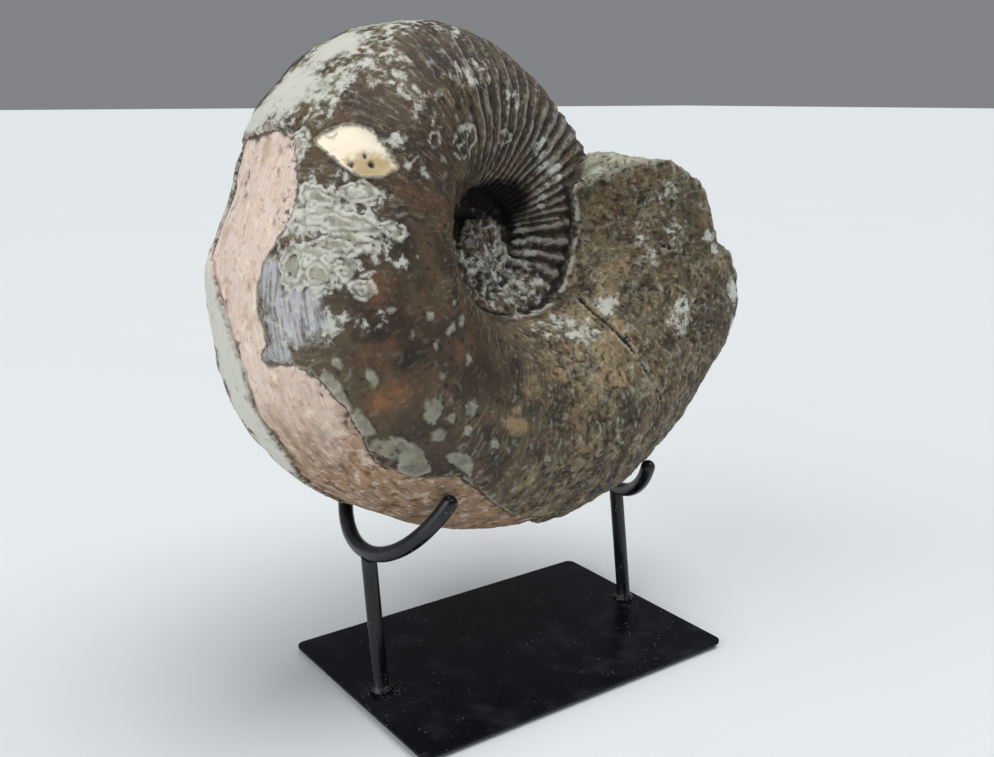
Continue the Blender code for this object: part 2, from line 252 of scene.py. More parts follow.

# Patches of colour: angle, degrees round, reach along, reach around (metres), strength
# Mostly pale weathered shell; the two small patches at -17 and -20 along the whorl are painted highlights on
# the notch's edge, and the two at -440 and -410 are partly the stone's grey and partly painted light in the
# umbilicus
PALE_AND_HIGHLIGHT_PATCHES = (
    (-190, -80, 0.012, 0.022, 0.52), (-178, -62, 0.010, 0.022, 0.50), (-195, -66, 0.012, 0.016, 0.60),
    (-232, -22, 0.034, 0.026, 0.80), (-240, -34, 0.030, 0.024, 0.64), (-275, -4, 0.050, 0.030, 0.90),
    (-298, 0, 0.050, 0.026, 0.80), (-240, -62, 0.014, 0.034, 0.62), (-208, -66, 0.016, 0.020, 0.66),
    (-196, -74, 0.014, 0.018, 0.60), (-180, -40, 0.016, 0.024, 0.80), (-206, -38, 0.018, 0.020, 0.85),
    (-200, -60, 0.018, 0.020, 0.80), (-270, -40, 0.030, 0.020, 0.55), (-220, -84, 0.012, 0.018, 0.55),
    (-232, -3, 0.040, 0.034, 1.1), (-246, -10, 0.040, 0.036, 1.0), (-228, -29, 0.022, 0.014, 0.7),
    (-226, 14, 0.018, 0.030, 1.1), (-250, -32, 0.034, 0.016, 0.65), (-262, -10, 0.040, 0.040, 0.8),
    (-217, -22, 0.016, 0.014, 0.75), (-203, -42, 0.026, 0.044, 0.9), (-192, -42, 0.026, 0.040, 0.85),
    (-183, -28, 0.026, 0.022, 0.80), (-181, -46, 0.016, 0.018, 0.55), (-224, -70, 0.014, 0.014, 0.6),
    (-239, -78, 0.020, 0.016, 0.55), (-264, -74, 0.040, 0.018, 0.60), (-285, -88, 0.030, 0.018, 0.50),
    (-311, -98, 0.022, 0.014, 0.60), (-327, -104, 0.016, 0.016, 0.85), (-338, -128, 0.016, 0.024, 0.6),
    (-2, -116, 0.016, 0.014, 0.62), (-13, -112, 0.018, 0.012, 0.58), (-16, -126, 0.014, 0.010, 0.58),
    (-42, -97, 0.024, 0.018, 0.70), (-27, -119, 0.014, 0.010, 0.55), (-29, -69, 0.012, 0.009, 1.3),
    (-37, -61, 0.013, 0.009, 1.3), (-44, -55, 0.010, 0.009, 1.0), (-17, -92, 0.006, 0.007, 1.2),
    (-20, -86, 0.006, 0.006, 1.2), (-52, -130, 0.010, 0.010, 1.0), (-74, -131, 0.020, 0.020, 0.8),
    (-86, -140, 0.024, 0.016, 0.7), (-135, -61, 0.014, 0.010, 0.5), (-214, -51, 0.030, 0.010, 0.5),
    (-440, -130, 0.050, 0.040, 0.7), (-410, -160, 0.050, 0.040, 0.85), (-190, 30, 0.022, 0.030, 1.5),
    (-181, 21, 0.026, 0.030, 1.4), (-172, 15, 0.026, 0.030, 1.4), (-163, 16, 0.026, 0.030, 1.4),
    (-153, 17, 0.026, 0.030, 1.3), (-143, 26, 0.026, 0.026, 1.2), (-236, -30, 0.020, 0.020, 0.75),
    (-258, -24, 0.030, 0.020, 0.75), (-246, -44, 0.012, 0.020, 0.6), (-200, 40, 0.080, 0.040, 0.8),
    (-100, 110, 0.080, 0.050, 0.7), (-260, 95, 0.080, 0.060, 0.8), (-30, 90, 0.060, 0.050, 0.7),
    (-170, 120, 0.050, 0.050, 0.6), (-320, 110, 0.050, 0.050, 0.7),
)
RUST_PATCHES = (
    (-185, -67, 0.013, 0.012, 1.3), (-171, -61, 0.012, 0.024, 0.9), (-161, -58, 0.014, 0.022, 1.3),
    (-157, -95, 0.018, 0.018, 0.8), (-211, -103, 0.014, 0.026, 0.9), (-236, -43, 0.014, 0.016, 0.8),
    (-210, -85, 0.014, 0.020, 0.8), (9, -124, 0.012, 0.016, 1.0), (-4, -141, 0.026, 0.016, 1.0),
    (-17, -141, 0.020, 0.014, 0.9), (-178, -88, 0.020, 0.024, 0.5), (-290, -127, 0.020, 0.014, 0.8),
    (-12, -101, 0.020, 0.008, 0.7), (-60, -78, 0.014, 0.024, 0.8), (-330, -98, 0.040, 0.006, 0.7),
    (-225, -96, 0.020, 0.020, 0.6), (-140, 90, 0.050, 0.040, 0.8), (-230, 120, 0.040, 0.040, 0.8),
    (-75, 80, 0.040, 0.050, 0.7), (-300, 80, 0.040, 0.040, 0.6),
)
TAN_PATCHES = (
    (-72, -113, 0.020, 0.024, 1.2), (-84, -106, 0.016, 0.018, 0.9), (-60, -120, 0.016, 0.014, 0.9),
    (-125, -88, 0.012, 0.020, 0.9), (-30, -133, 0.020, 0.012, 0.9), (-42, -136, 0.018, 0.012, 0.9),
    (-108, -58, 0.050, 0.030, 0.55), (-95, -120, 0.030, 0.030, 0.6), (-90, -75, 0.050, 0.030, 0.45),
    (-8, -97, 0.030, 0.008, 0.9), (-62, -136, 0.024, 0.020, 0.8), (-104, -42, 0.050, 0.016, 0.6),
    (-119, -100, 0.016, 0.020, 0.5), (-105, 60, 0.060, 0.050, 0.7), (-40, 110, 0.050, 0.040, 0.6),
)
# Painted shade in the umbilicus, under the overhang of the outer whorl
UMBILICUS_SHADE_PATCHES = (
    (-313, -150, 0.020, 0.024, 1.2), (-335, -160, 0.020, 0.018, 0.9), (-290, -158, 0.024, 0.016, 1.0),
    (-688, -152, 0.026, 0.022, 1.4), (-676, -105, 0.022, 0.022, 1.3), (-650, -110, 0.018, 0.020, 1.1),
)
LAVENDER_PATCHES = (
    (-189, -22, 0.018, 0.016, 1.2), (-183, -30, 0.022, 0.024, 1.2), (-176, -18, 0.012, 0.014, 1.0),
)
SATIN_PATCHES = (
    (-174, -74, 0.050, 0.045, 1.4), (-152, -58, 0.050, 0.030, 1.2), (-190, -92, 0.030, 0.030, 1.1),
    (-152, -100, 0.040, 0.030, 1.1),
)
# Dark smears; the first three darken the broken end's side as painted shade
DARK_SMEAR_AND_SHADE_PATCHES = (
    (-12, -104, 0.060, 0.060, 0.62), (-36, -76, 0.050, 0.034, 0.66), (-10, -136, 0.030, 0.022, 0.60),
    (-175, -66, 0.010, 0.026, 0.8), (-166, -78, 0.010, 0.026, 0.8), (-196, -80, 0.020, 0.022, 0.8),
    (-140, -100, 0.030, 0.024, 0.8), (-150, -62, 0.020, 0.030, 0.6), (-128, -112, 0.020, 0.018, 0.7),
    (-79, -88, 0.020, 0.022, 0.9), (-53, -97, 0.009, 0.009, 1.0), (-92, -74, 0.016, 0.016, 0.7),
    (-107, -83, 0.018, 0.016, 0.6), (-97, -55, 0.020, 0.016, 0.5), (-235, -100, 0.024, 0.014, 0.6),
    (-280, -104, 0.040, 0.014, 0.6), (-207, -22, 0.016, 0.006, 0.6), (-204, -61, 0.006, 0.016, 0.9),
    (-232, -40, 0.010, 0.010, 0.5), (-30, -100, 0.012, 0.012, 0.6),
)

COLOUR_PATCHES = {
    "rust": RUST_PATCHES,
    "tan": TAN_PATCHES,
    "dark": DARK_SMEAR_AND_SHADE_PATCHES,
    "lavender": LAVENDER_PATCHES,
    "satin": SATIN_PATCHES,
    "worn": (IVORY_WORN,),
}

# Metres for one radian along the whorl and round it, for patterns that follow the shell
ALONG_RADIUS = 0.16
AROUND_RADIUS = 0.10

# Height against the neighbours that counts as a full groove or ridge
GROOVE_DEPTH = 0.0005

# Camera and light, set from the photograph
PHOTO_WIDTH = 994
FOCAL_PIXELS = 1100.0
SENSOR_WIDTH = 36.0
CAMERA_PLACE = (-0.50316, -0.68703, 0.45274)
CAMERA_HEADING = -35.49
CAMERA_DIP = 14.40
FLOOR_REACH = 40.0
VIEW_REACH = 100.0
WINDOW_PLACE = (-2.0, -0.25, 1.0)
WINDOW_SPREAD = 60.0
CEILING_PLACE = (0.6, -0.5, 2.4)
CEILING_SPREAD = 50.0
AIR_COLOUR = (0.93, 0.95, 1.0, 1.0)


def linear(red, green, blue):
    """A display colour from 0 to 255 as the linear colour that a shader takes."""
    shares = [level / 255.0 for level in (red, green, blue)]
    return tuple(s / 12.92 if s <= 0.04045 else ((s + 0.055) / 1.055) ** 2.4 for s in shares)


def colour_setting(name, description, red, green, blue):
    return FloatVectorProperty(
        name=name, description=description, default=linear(red, green, blue),
        size=3, min=0.0, max=1.0, subtype="COLOR",
    )


class StoneSettings(bpy.types.PropertyGroup):
    """Fineness and colours of the fossil."""

    grain: FloatProperty(
        name="Grain", description="Size of the finest form in the stone's mesh",
        default=0.0018, min=0.001, max=0.01, unit="LENGTH",
    )
    triangles: IntProperty(
        name="Triangles", description="Number of triangles that the stone is thinned to",
        default=194000, min=1000, max=199000,
    )
    dark_shell: colour_setting("Dark shell", "Dark brown shell of the flank", 59, 47, 35)
    olive_shell: colour_setting("Olive shell", "Olive shell between the browns", 82, 72, 50)
    brown_shell: colour_setting("Brown shell", "Redder brown shell", 92, 69, 49)
    # Also paints the pale streaks along the ribs, partly wear and partly painted highlights
    warm_grey: colour_setting("Warm grey", "Worn streaks along the ribs", 124, 112, 90)
    rust: colour_setting("Rust", "Iron stains", 100, 73, 51)
    orange: colour_setting("Orange", "Middle of the strongest iron stains", 138, 98, 56)
    tan: colour_setting("Tan", "Limestone showing through the last whorl", 156, 134, 98)
    lavender: colour_setting("Lavender", "Bluish grey shell beside the flaked band", 184, 184, 190)
    pale: colour_setting("Pale", "Grey-white weathered shell", 208, 209, 198)
    pale_low: colour_setting("Pale low", "Duller weathered shell", 152, 151, 134)
    green_grey: colour_setting("Green grey", "Darker side of the weathered shell", 104, 102, 82)
    flaked: colour_setting("Flaked band", "Smooth stone where the shell has come off", 222, 204, 192)
    flaked_tan: colour_setting("Flaked tan", "Fibrous lower part of the flaked band", 176, 144, 114)
    ivory: colour_setting("Ivory", "Smooth filled patch", 246, 234, 210)
    ivory_worn: colour_setting("Worn ivory", "Yellowed side of the patch", 180, 156, 106)
    matrix: colour_setting("Matrix", "Rough stone in the broken mouth", 190, 192, 172)
    # Dark of real dirt in cracks and pits, also used as painted shade in grooves, along the whorl seam and
    # on the broken end's side
    dirt_and_shade: colour_setting("Dirt", "Dark filling of cracks and hollows", 24, 20, 16)
    # Colour of the painted shade deep in the umbilicus
    shade: FloatVectorProperty(
        name="Shade", description="Deepest dark of the umbilicus", default=(0.002, 0.0018, 0.0015),
        size=3, min=0.0, max=1.0, subtype="COLOR",
    )
    sheen: FloatProperty(
        name="Sheen", description="Strength of the stone's reflections", default=0.35, min=0.0, max=1.0
    )


class StandSettings(bpy.types.PropertyGroup):
    """Fineness and colours of the stand."""

    bar_sides: IntProperty(
        name="Bar sides", description="Number of sides of the round bar", default=32, min=8
    )
    arc_steps: IntProperty(
        name="Arc steps", description="Lengths that each cradle arc is made of", default=72, min=8
    )
    # Satin black paint; its blue cast is a painted reflection of a dark blue room
    paint: colour_setting("Paint", "Satin black paint", 6, 10, 17)
    dust: colour_setting("Dust", "Dust and rub marks on the paint", 132, 136, 142)
    rubber: colour_setting("Rubber", "Rubber of the feet", 22, 22, 22)
    bar_gloss: FloatProperty(
        name="Bar gloss", description="Strength of the bars' reflections", default=0.45, min=0.0, max=1.0
    )
    plate_gloss: FloatProperty(
        name="Plate gloss", description="Strength of the plate's reflections", default=0.09, min=0.0, max=1.0
    )


class StageSettings(bpy.types.PropertyGroup):
    """Colours and strengths of the studio."""

    floor: colour_setting("Floor", "Plain pale floor", 226, 230, 232)
    window: FloatProperty(name="Window", description="Strength of the soft light at the left", default=1.75)
    ceiling: FloatProperty(name="Ceiling", description="Strength of the soft light overhead", default=2.0)
    air: FloatProperty(name="Air", description="Brightness of the light from all round", default=0.24)


# Shell geometry for many points at once


def smooth_step(low, high, value):
    share = np.clip((value - low) / (high - low), 0.0, 1.0)
    return share * share * (3.0 - 2.0 * share)


def whorl_radius(angle):
    """Distance from the coiling axis to the venter, at angles in degrees."""
    polar = np.radians(MOUTH_POLAR + angle)
    crushed = sum(c * np.cos(n * polar) + s * np.sin(n * polar) for n, c, s in CRUSHING)
    slimmed = SLIMMING * smooth_step(-SLIM_FROM, -SLIM_TO, -angle)
    return MOUTH_RADIUS * np.exp(GROWTH_PER_RADIAN * np.radians(angle) + crushed - slimmed)


def shell_frame():
    turn = Matrix.Rotation(math.radians(SHELL_YAW), 4, "Z")
    tilt = Matrix.Rotation(math.radians(SHELL_TILT), 4, "X")
    return Matrix.Translation(SHELL_CENTRE) @ turn @ tilt


SHELL_FRAME = shell_frame()
SHELL_TURN = np.array(SHELL_FRAME.to_3x3())


def shell_points(angle, around, shrink=1.0):
    """Points of the smooth shell, as rows."""
    angle, around = np.broadcast_arrays(np.asarray(angle, float), np.asarray(around, float))
    cosine = np.cos(np.radians(around))
    sine = np.sin(np.radians(around))
    power = 2.0 / SECTION_POWER
    outward = np.copysign(np.abs(cosine) ** power, cosine)
    sideways = np.copysign(np.abs(sine) ** power, sine)
    radius = whorl_radius(angle)
    polar = np.radians(MOUTH_POLAR + angle)
    reach = radius * (1.0 - HALF_HEIGHT_SHARE + HALF_HEIGHT_SHARE * shrink * outward)
    across = radius * HALF_WIDTH_SHARE * shrink * sideways
    local = np.stack((reach * np.cos(polar), across, reach * np.sin(polar)), axis=-1)
    return local @ SHELL_TURN.T + np.array(SHELL_CENTRE)


def broken_end(around):
    """The angle where the broken shell ends, at angles round the section."""
    places, ends = zip(*BREAK_LINE)
    angles = np.atleast_1d(np.asarray(around, float))
    jags = []
    for turn in np.radians(angles):
        ring = Vector((math.cos(turn), math.sin(turn), 0.4))
        jags.append(BREAK_JAGS * noise.noise(ring * 5.0) + FINE_JAGS * noise.noise(ring * 21.0))
    return np.interp(angles, places, ends) + np.array(jags)


def section_place(local, angle):
    """Degrees round the section, and how far in or out of it points are as a share."""
    radius = whorl_radius(angle)
    reach = np.hypot(local[:, 0], local[:, 2])
    outward = (reach / radius - 1.0 + HALF_HEIGHT_SHARE) / HALF_HEIGHT_SHARE
    sideways = local[:, 1] / (radius * HALF_WIDTH_SHARE)
    total = np.abs(outward) ** SECTION_POWER + np.abs(sideways) ** SECTION_POWER
    level = total ** (1.0 / SECTION_POWER)
    power = SECTION_POWER / 2.0
    cosine = np.copysign(np.abs(outward) ** power, outward)
    sine = np.copysign(np.abs(sideways) ** power, sideways)
    return np.degrees(np.arctan2(sine, cosine)), level


class Places:
    """Where points lie on the shell: angle along the whorl, degrees round it, and what is near."""

    def __init__(self, points):
        local = (points - np.array(SHELL_CENTRE)) @ SHELL_TURN
        turned = (np.degrees(np.arctan2(local[:, 2], local[:, 0])) - MOUTH_POLAR) % 360.0
        self.off = np.full(len(points), 1.0)
        self.next_off = np.full(len(points), 1.0)
        self.angle = np.zeros(len(points))
        self.around = np.zeros(len(points))
        for turn in (0, 1, 2, 3):
            angle = turned - 360.0 * turn
            around, level = section_place(local, np.minimum(angle, 30.0))
            off = np.abs(level - 1.0) * whorl_radius(angle) * HALF_HEIGHT_SHARE
            off[angle > MOUTH_ANGLE + 6.0] = 1.0
            closer = off < self.off
            self.next_off = np.where(closer, self.off, np.minimum(self.next_off, off))
            self.angle = np.where(closer, angle, self.angle)
            self.around = np.where(closer, around, self.around)
            self.off = np.where(closer, off, self.off)
        last = np.where(turned < 60.0, turned, turned - 360.0)
        around, level = section_place(local, last)
        older = np.full(len(points), 1.0)
        for turn in (1, 2):
            level_there = section_place(local, last - 360.0 * turn)[1]
            radius = whorl_radius(last - 360.0 * turn)
            older = np.minimum(older, np.abs(level_there - 1.0) * radius * HALF_HEIGHT_SHARE)
        inside = 1.0 - smooth_step(0.945, 0.985, level)
        before = smooth_step(-3.0, -1.0, last - broken_end(around))
        before = np.maximum(before, 1.0 - smooth_step(0.80, 0.90, level))
        clear = smooth_step(0.004, 0.007, older)
        reach = np.linalg.norm((local - np.array(FILLING_PLACE)) / np.array(FILLING_SIZE), axis=1)
        self.filling = 1.0 - smooth_step(1.02, 1.20, reach)
        # Pale of the filling, partly its own grey and partly painted light, darkened upward as painted shade
        self.filling_lit = self.filling * (1.0 - 0.45 * smooth_step(*FILLING_SHADE_HEIGHTS, local[:, 2]))
        self.matrix = inside * before * clear * (last > -50.0)


def rough(points, size, octaves=3):
    """Fractal noise at many points, with lumps of one size in metres."""
    return np.array([noise.fractal(Vector(p) / size, 0.8, 2.1, octaves) for p in points.tolist()])


def spot_frame(angle, around, turn=0.0):
    """A place on the shell: its point, and unit vectors along the whorl and round it."""
    centre = shell_points(angle, around)
    along = shell_points(angle + 0.5, around) - shell_points(angle - 0.5, around)
    along /= np.linalg.norm(along)
    across = shell_points(angle, around + 0.5) - shell_points(angle, around - 0.5)
    across -= along * (along @ across)
    across /= np.linalg.norm(across)
    cosine, sine = math.cos(math.radians(turn)), math.sin(math.radians(turn))
    return centre, along * cosine + across * sine, across * cosine - along * sine


def spot_offsets(points, angle, around, turn=0.0):
    centre, along, across = spot_frame(angle, around, turn)
    offsets = points - centre
    up = np.cross(along, across)
    return offsets @ along, offsets @ across, offsets @ up


def patch_strength(points, patches):
    """How strongly soft-edged patches of colour cover each point."""
    total = np.zeros(len(points))
    for angle, around, reach_along, reach_around, strength in patches:
        along, across, up = spot_offsets(points, angle, around)
        off = (along / reach_along) ** 2 + (across / reach_around) ** 2 + (up / 0.05) ** 2
        total = np.maximum(total, strength * np.exp(-off))
    return total


def oval_depth(points, angle, around, length, width, turn=0.0):
    """Depth inside an oval spot in metres, negative outside it. Length is across the whorl."""
    along, across, up = spot_offsets(points, angle, around, turn)
    level = np.sqrt((across / length) ** 2 + (along / width) ** 2)
    return np.where(np.abs(up) < 0.02, (1.0 - level) * min(length, width), -0.02)


def island_depth(points, number, angle, around, length, width):
    """Depth inside a chip of shell with five or six straight sides."""
    along, across, up = spot_offsets(points, angle, around, 25.0 * math.sin(3.1 * number))
    sides = 5 + number % 2
    depth = np.full(len(points), 0.05)
    for side in range(sides):
        turn = 2.0 * math.pi * side / sides + 0.35 * math.sin(7.3 * number + 2.9 * side)
        reach = 0.86 + 0.16 * math.sin(5.1 * number + 4.7 * side)
        edge = reach - (along / length * math.cos(turn) + across / width * math.sin(turn))
        depth = np.minimum(depth, edge * min(length, width))
    return np.where(np.abs(up) < 0.02, depth, -0.02)


def line_distance(points, line):
    """Distance from each point to a broken line of shell places."""
    corners = shell_points([p[0] for p in line], [p[1] for p in line])
    nearest = np.full(len(points), 1.0)
    for start, stop in zip(corners, corners[1:]):
        step = stop - start
        share = np.clip(((points - start) @ step) / (step @ step), 0.0, 1.0)
        nearest = np.minimum(nearest, np.linalg.norm(points - start - share[:, None] * step, axis=1))
    return nearest


def outline_depth(points, places, outline):
    """Depth inside a closed outline of shell places, negative outside it."""
    closed = (*outline, outline[0])
    inside = np.zeros(len(points), bool)
    for (angle_a, around_a), (angle_b, around_b) in zip(closed, closed[1:]):
        spans = (around_a > places.around) != (around_b > places.around)
        if around_a != around_b:
            cut = angle_a + (angle_b - angle_a) * (places.around - around_a) / (around_b - around_a)
            inside ^= spans & (places.angle < cut)
    distance = line_distance(points, closed)
    return np.where(inside, distance, -distance)


def flaked_depth(points, places):
    """Depth inside the flaked band in metres, negative outside it."""
    angles, edges = zip(*FLAKE_LINE)
    edge = np.interp(places.angle, angles, edges, left=60.0, right=60.0)
    far_edge = np.interp(places.angle, *zip(*FLAKE_FAR_LINE), left=-60.0, right=-60.0)
    near = line_distance(points, FLAKE_LINE)
    far = line_distance(points, FLAKE_FAR_LINE)
    inside = (places.around > edge) & (places.around < far_edge)
    depth = np.where(inside, np.minimum(near, far), -np.minimum(near, far))
    return depth + 0.0011 * rough(points, 0.006) + 0.0009 * rough(points, 0.0025, 2)


class Marks:
    """Everything drawn on the shell, worked out once for the relief and once for the colour."""

    def __init__(self, points, places):
        jitter = 0.0007 * rough(points, 0.004)
        self.flaked = flaked_depth(points, places)
        self.ivory = outline_depth(points, places, IVORY_OUTLINE) + 0.6 * jitter
        self.pits = np.zeros(len(points))
        for angle, around, radius in IVORY_PITS:
            depth = oval_depth(points, angle, around, radius, radius) + 0.5 * jitter
            self.pits = np.maximum(self.pits, smooth_step(0.0, 0.4 * radius, depth))
        self.tongues = np.full(len(points), -0.02)
        for tongue in SUTURE_TONGUES:
            self.tongues = np.maximum(self.tongues, oval_depth(points, *tongue))
        self.tongues += 0.0022 * rough(points, 0.011) + 0.0010 * rough(points, 0.0045, 2)
        rim = np.minimum(np.abs(self.tongues), np.abs(self.tongues - 0.0036))
        self.curls = 1.0 - smooth_step(0.0003, 0.0012, rim)
        self.islands = np.full(len(points), -0.02)
        for number, island in enumerate(SHELL_ISLANDS):
            self.islands = np.maximum(self.islands, island_depth(points, number, *island))
        self.islands += 1.2 * jitter
        self.rings = np.zeros(len(points))
        for angle, around, length, width in RINGS:
            depth = oval_depth(points, angle, around, length, width) + jitter
            self.rings = np.maximum(self.rings, 1.0 - smooth_step(0.0003, 0.0011, np.abs(depth)))
        self.rings *= smooth_step(-0.35, 0.05, rough(points, 0.008, 2))
        self.cracks = np.zeros(len(points))
        for line, width in zip(CRACKS, CRACK_WIDTHS):
            distance = line_distance(points, line) + jitter
            self.cracks = np.maximum(self.cracks, 1.0 - smooth_step(0.5 * width, 1.6 * width, distance))
        # Painted shade along the seam where one whorl lies against the next
        self.seam = 1.0 - smooth_step(0.0012, 0.0032, places.next_off)
        lip = smooth_step(0.0034, 0.0042, places.next_off) - smooth_step(0.0056, 0.0070, places.next_off)
        lip *= (places.angle > -100.0) & (places.around < -90.0)
        self.rings = np.maximum(self.rings, lip * smooth_step(-0.3, 0.1, rough(points, 0.009, 2)))


def carve(points, normals, places, marks):
    """The stone's surface moved out to its ribs, lumps and chips and in to its flakes."""
    on_shell = places.off < SURFACE_REACH
    relief = LUMP_HEIGHT * rough(points, LUMP_SIZE)
    flank = smooth_step(20.0, 65.0, np.abs(places.around))
    wander = 1.4 * rough(points, 0.030, 2)
    swept = places.angle + RIB_SWEEP * np.cos(np.radians(places.around))
    fade = 1.0 - smooth_step(RIB_LAST - RIB_FADE, RIB_LAST, places.angle)
    patchy = np.clip(0.75 + 0.7 * rough(points, 0.022, 2), 0.1, 1.4)
    ribs = RIB_HEIGHT * np.cos(2.0 * math.pi * (swept + wander) / RIB_PITCH) * fade * flank * patchy
    lines = GROWTH_LINE_HEIGHT * np.cos(2.0 * math.pi * (swept + wander) / GROWTH_LINE_PITCH)
    lines *= (0.35 + 0.65 * fade) * smooth_step(10.0, 40.0, np.abs(places.around)) * patchy
    inner = INNER_RIB_HEIGHT * flank
    inner *= np.cos(2.0 * math.pi * (places.angle + 1.5 * wander) / INNER_RIB_PITCH)
    inner *= 0.22 + 0.78 * smooth_step(*INNER_RIBS_FADE, places.angle)
    inner += 0.0012 * rough(points, 0.009, 3) + 0.0028 * rough(points, 0.015, 2) * (places.angle < -395.0)
    inner -= HOLLOW_SINK * smooth_step(-HOLLOW_SINKS[0], -HOLLOW_SINKS[1], -places.angle)
    shell = np.where(places.angle < -360.0, inner, ribs + lines)
    for middle, centre, reach_along, reach_around, height in SWELLINGS:
        off_along = (places.angle - middle) / reach_along
        off_around = (places.around - centre) / reach_around
        shell += height * np.exp(-(off_along ** 2 + off_around ** 2))
    stripped = smooth_step(-0.0007, 0.0007, marks.flaked)
    shell -= FLAKE_DEPTH * stripped
    relief += np.where(on_shell, shell, 0.0)
    relief += FILLING_ROUGHNESS * places.filling * rough(points, 0.013, 4)
    fine = 0.00055 * rough(points, 0.010, 4) + 0.00030 * rough(points, 0.0035, 3)
    mottled = smooth_step(*MOTTLED_FROM, places.angle)
    relief += fine * (1.0 - 0.55 * stripped) * (1.0 + 0.6 * places.matrix + 0.7 * mottled)
    relief -= IVORY_DEPTH * smooth_step(-0.0004, 0.0012, marks.ivory)
    rim = 1.0 - smooth_step(0.0004, 0.0020, np.abs(marks.ivory + 0.0006))
    relief += 0.0009 * rim - 0.0022 * marks.pits
    chips = smooth_step(-0.0003, 0.0006, marks.islands)
    relief += 0.0006 * chips + 0.0007 * marks.curls + 0.0006 * smooth_step(-0.0005, 0.0010, marks.tongues)
    relief += 0.0007 * marks.rings
    relief -= CRACK_DEPTH * marks.cracks
    return points + normals * relief[:, None]


# Mesh helpers


def mesh_points(mesh):
    flat = np.empty(len(mesh.vertices) * 3)
    mesh.vertices.foreach_get("co", flat)
    return flat.reshape(-1, 3)


def mesh_normals(mesh):
    flat = np.empty(len(mesh.vertices) * 3)
    mesh.vertex_normals.foreach_get("vector", flat)
    return flat.reshape(-1, 3)


def evaluated_mesh(item):
    graph = bpy.context.evaluated_depsgraph_get()
    return bpy.data.meshes.new_from_object(item.evaluated_get(graph))


def add_object(name, mesh, material=None):
    item = bpy.data.objects.new(name, mesh)
    bpy.context.scene.collection.objects.link(item)
    if material is not None:
        mesh.materials.append(material)
    return item


def finish_piece(bm, name, material, sharp_angle=40.0):
    bmesh.ops.recalc_face_normals(bm, faces=bm.faces)
    mesh = bpy.data.meshes.new(name)
    bm.to_mesh(mesh)
    bm.free()
    mesh.shade_smooth()
    mesh.set_sharp_from_angle(angle=math.radians(sharp_angle))
    return add_object(name, mesh, material)


def keep_attribute(mesh, name, values):
    layer = mesh.attributes.new(name, "FLOAT", "POINT")
    layer.data.foreach_set("value", np.asarray(values, np.float32))


def hollowness(mesh):
    """How sunken each point is against its neighbours, about -1 on ridges to 1 in grooves."""
    points = mesh_points(mesh)
    ends = np.empty(len(mesh.edges) * 2, np.int64)
    mesh.edges.foreach_get("vertices", ends)
    first, second = ends.reshape(-1, 2).T
    count = np.bincount(ends, minlength=len(points))[:, None]
    value = points
    for _ in range(3):
        total = np.zeros_like(points)
        np.add.at(total, first, value[second])
        np.add.at(total, second, value[first])
        value = 0.5 * value + 0.5 * total / count
    rise = np.einsum("ij,ij->i", value - points, mesh_normals(mesh))
    return np.clip(rise / GROOVE_DEPTH, -1.0, 1.0)


# The stone


def extrude_ring(bm, verts):
    """The next ring, as vertices in the same order as the ring it grew from."""
    edges = [bm.edges.get((verts[i - 1], verts[i])) for i in range(len(verts))]
    made = bmesh.ops.extrude_edge_only(bm, edges=edges)["geom"]
    new = {v for v in made if isinstance(v, bmesh.types.BMVert)}
    return [next(e.other_vert(v) for e in v.link_edges if e.other_vert(v) in new) for v in verts]


def place_ring(verts, angle, shrink, mouth):
    around = np.linspace(0.0, 360.0, len(verts), endpoint=False)
    around = np.where(around > 180.0, around - 360.0, around)
    ends = np.full(len(verts), angle)
    if mouth and angle > -BREAK_FADE:
        share = (angle + BREAK_FADE) / (MOUTH_ANGLE + BREAK_FADE)
        ends = -BREAK_FADE + share * (broken_end(around) + BREAK_FADE)
    for vert, place in zip(verts, shell_points(ends, around, shrink)):
        vert.co = place


def close_mouth(bm, verts):
    """The rough stone that fills the broken mouth, behind a lip of shell wall."""
    middle = sum((v.co for v in verts), Vector()) / len(verts)
    forward = Vector(shell_points(0.0, 0.0) - shell_points(-4.0, 0.0)).normalized()
    lip = 1.0 - SHELL_WALL / (float(whorl_radius(0.0)) * HALF_WIDTH_SHARE)
    rim = [v.co.copy() for v in verts]
    for share, rise in ((lip, -0.001), *MATRIX_PROFILE):
        verts = extrude_ring(bm, verts)
        for index, (vert, edge) in enumerate(zip(verts, rim)):
            inner_side = max(0.0, -math.cos(2.0 * math.pi * index / len(verts)))
            bulge = MATRIX_BULGE * 6.75 * share ** 2 * (1.0 - share) * inner_side ** 2
            vert.co = middle + (edge - middle) * share + forward * (rise + bulge)
    bm.faces.new(verts)


def add_whorl(bm, first, last, mouth):
    """One closed tube of shell, ring by ring along the spiral."""
    steps = round((last - first) / RING_STEP)
    verts = bmesh.ops.create_circle(bm, cap_ends=True, segments=RING_SIDES, radius=1.0)["verts"]
    for step in range(steps + 1):
        angle = first + (last - first) * step / steps
        if step:
            verts = extrude_ring(bm, verts)
        narrowing = 0.0 if mouth else WHORL_TUCK * float(smooth_step(last - WHORL_OVERLAP, last, angle))
        place_ring(verts, angle, 1.0 - narrowing, mouth)
    if mouth:
        close_mouth(bm, verts)
    else:
        bm.faces.new(verts)


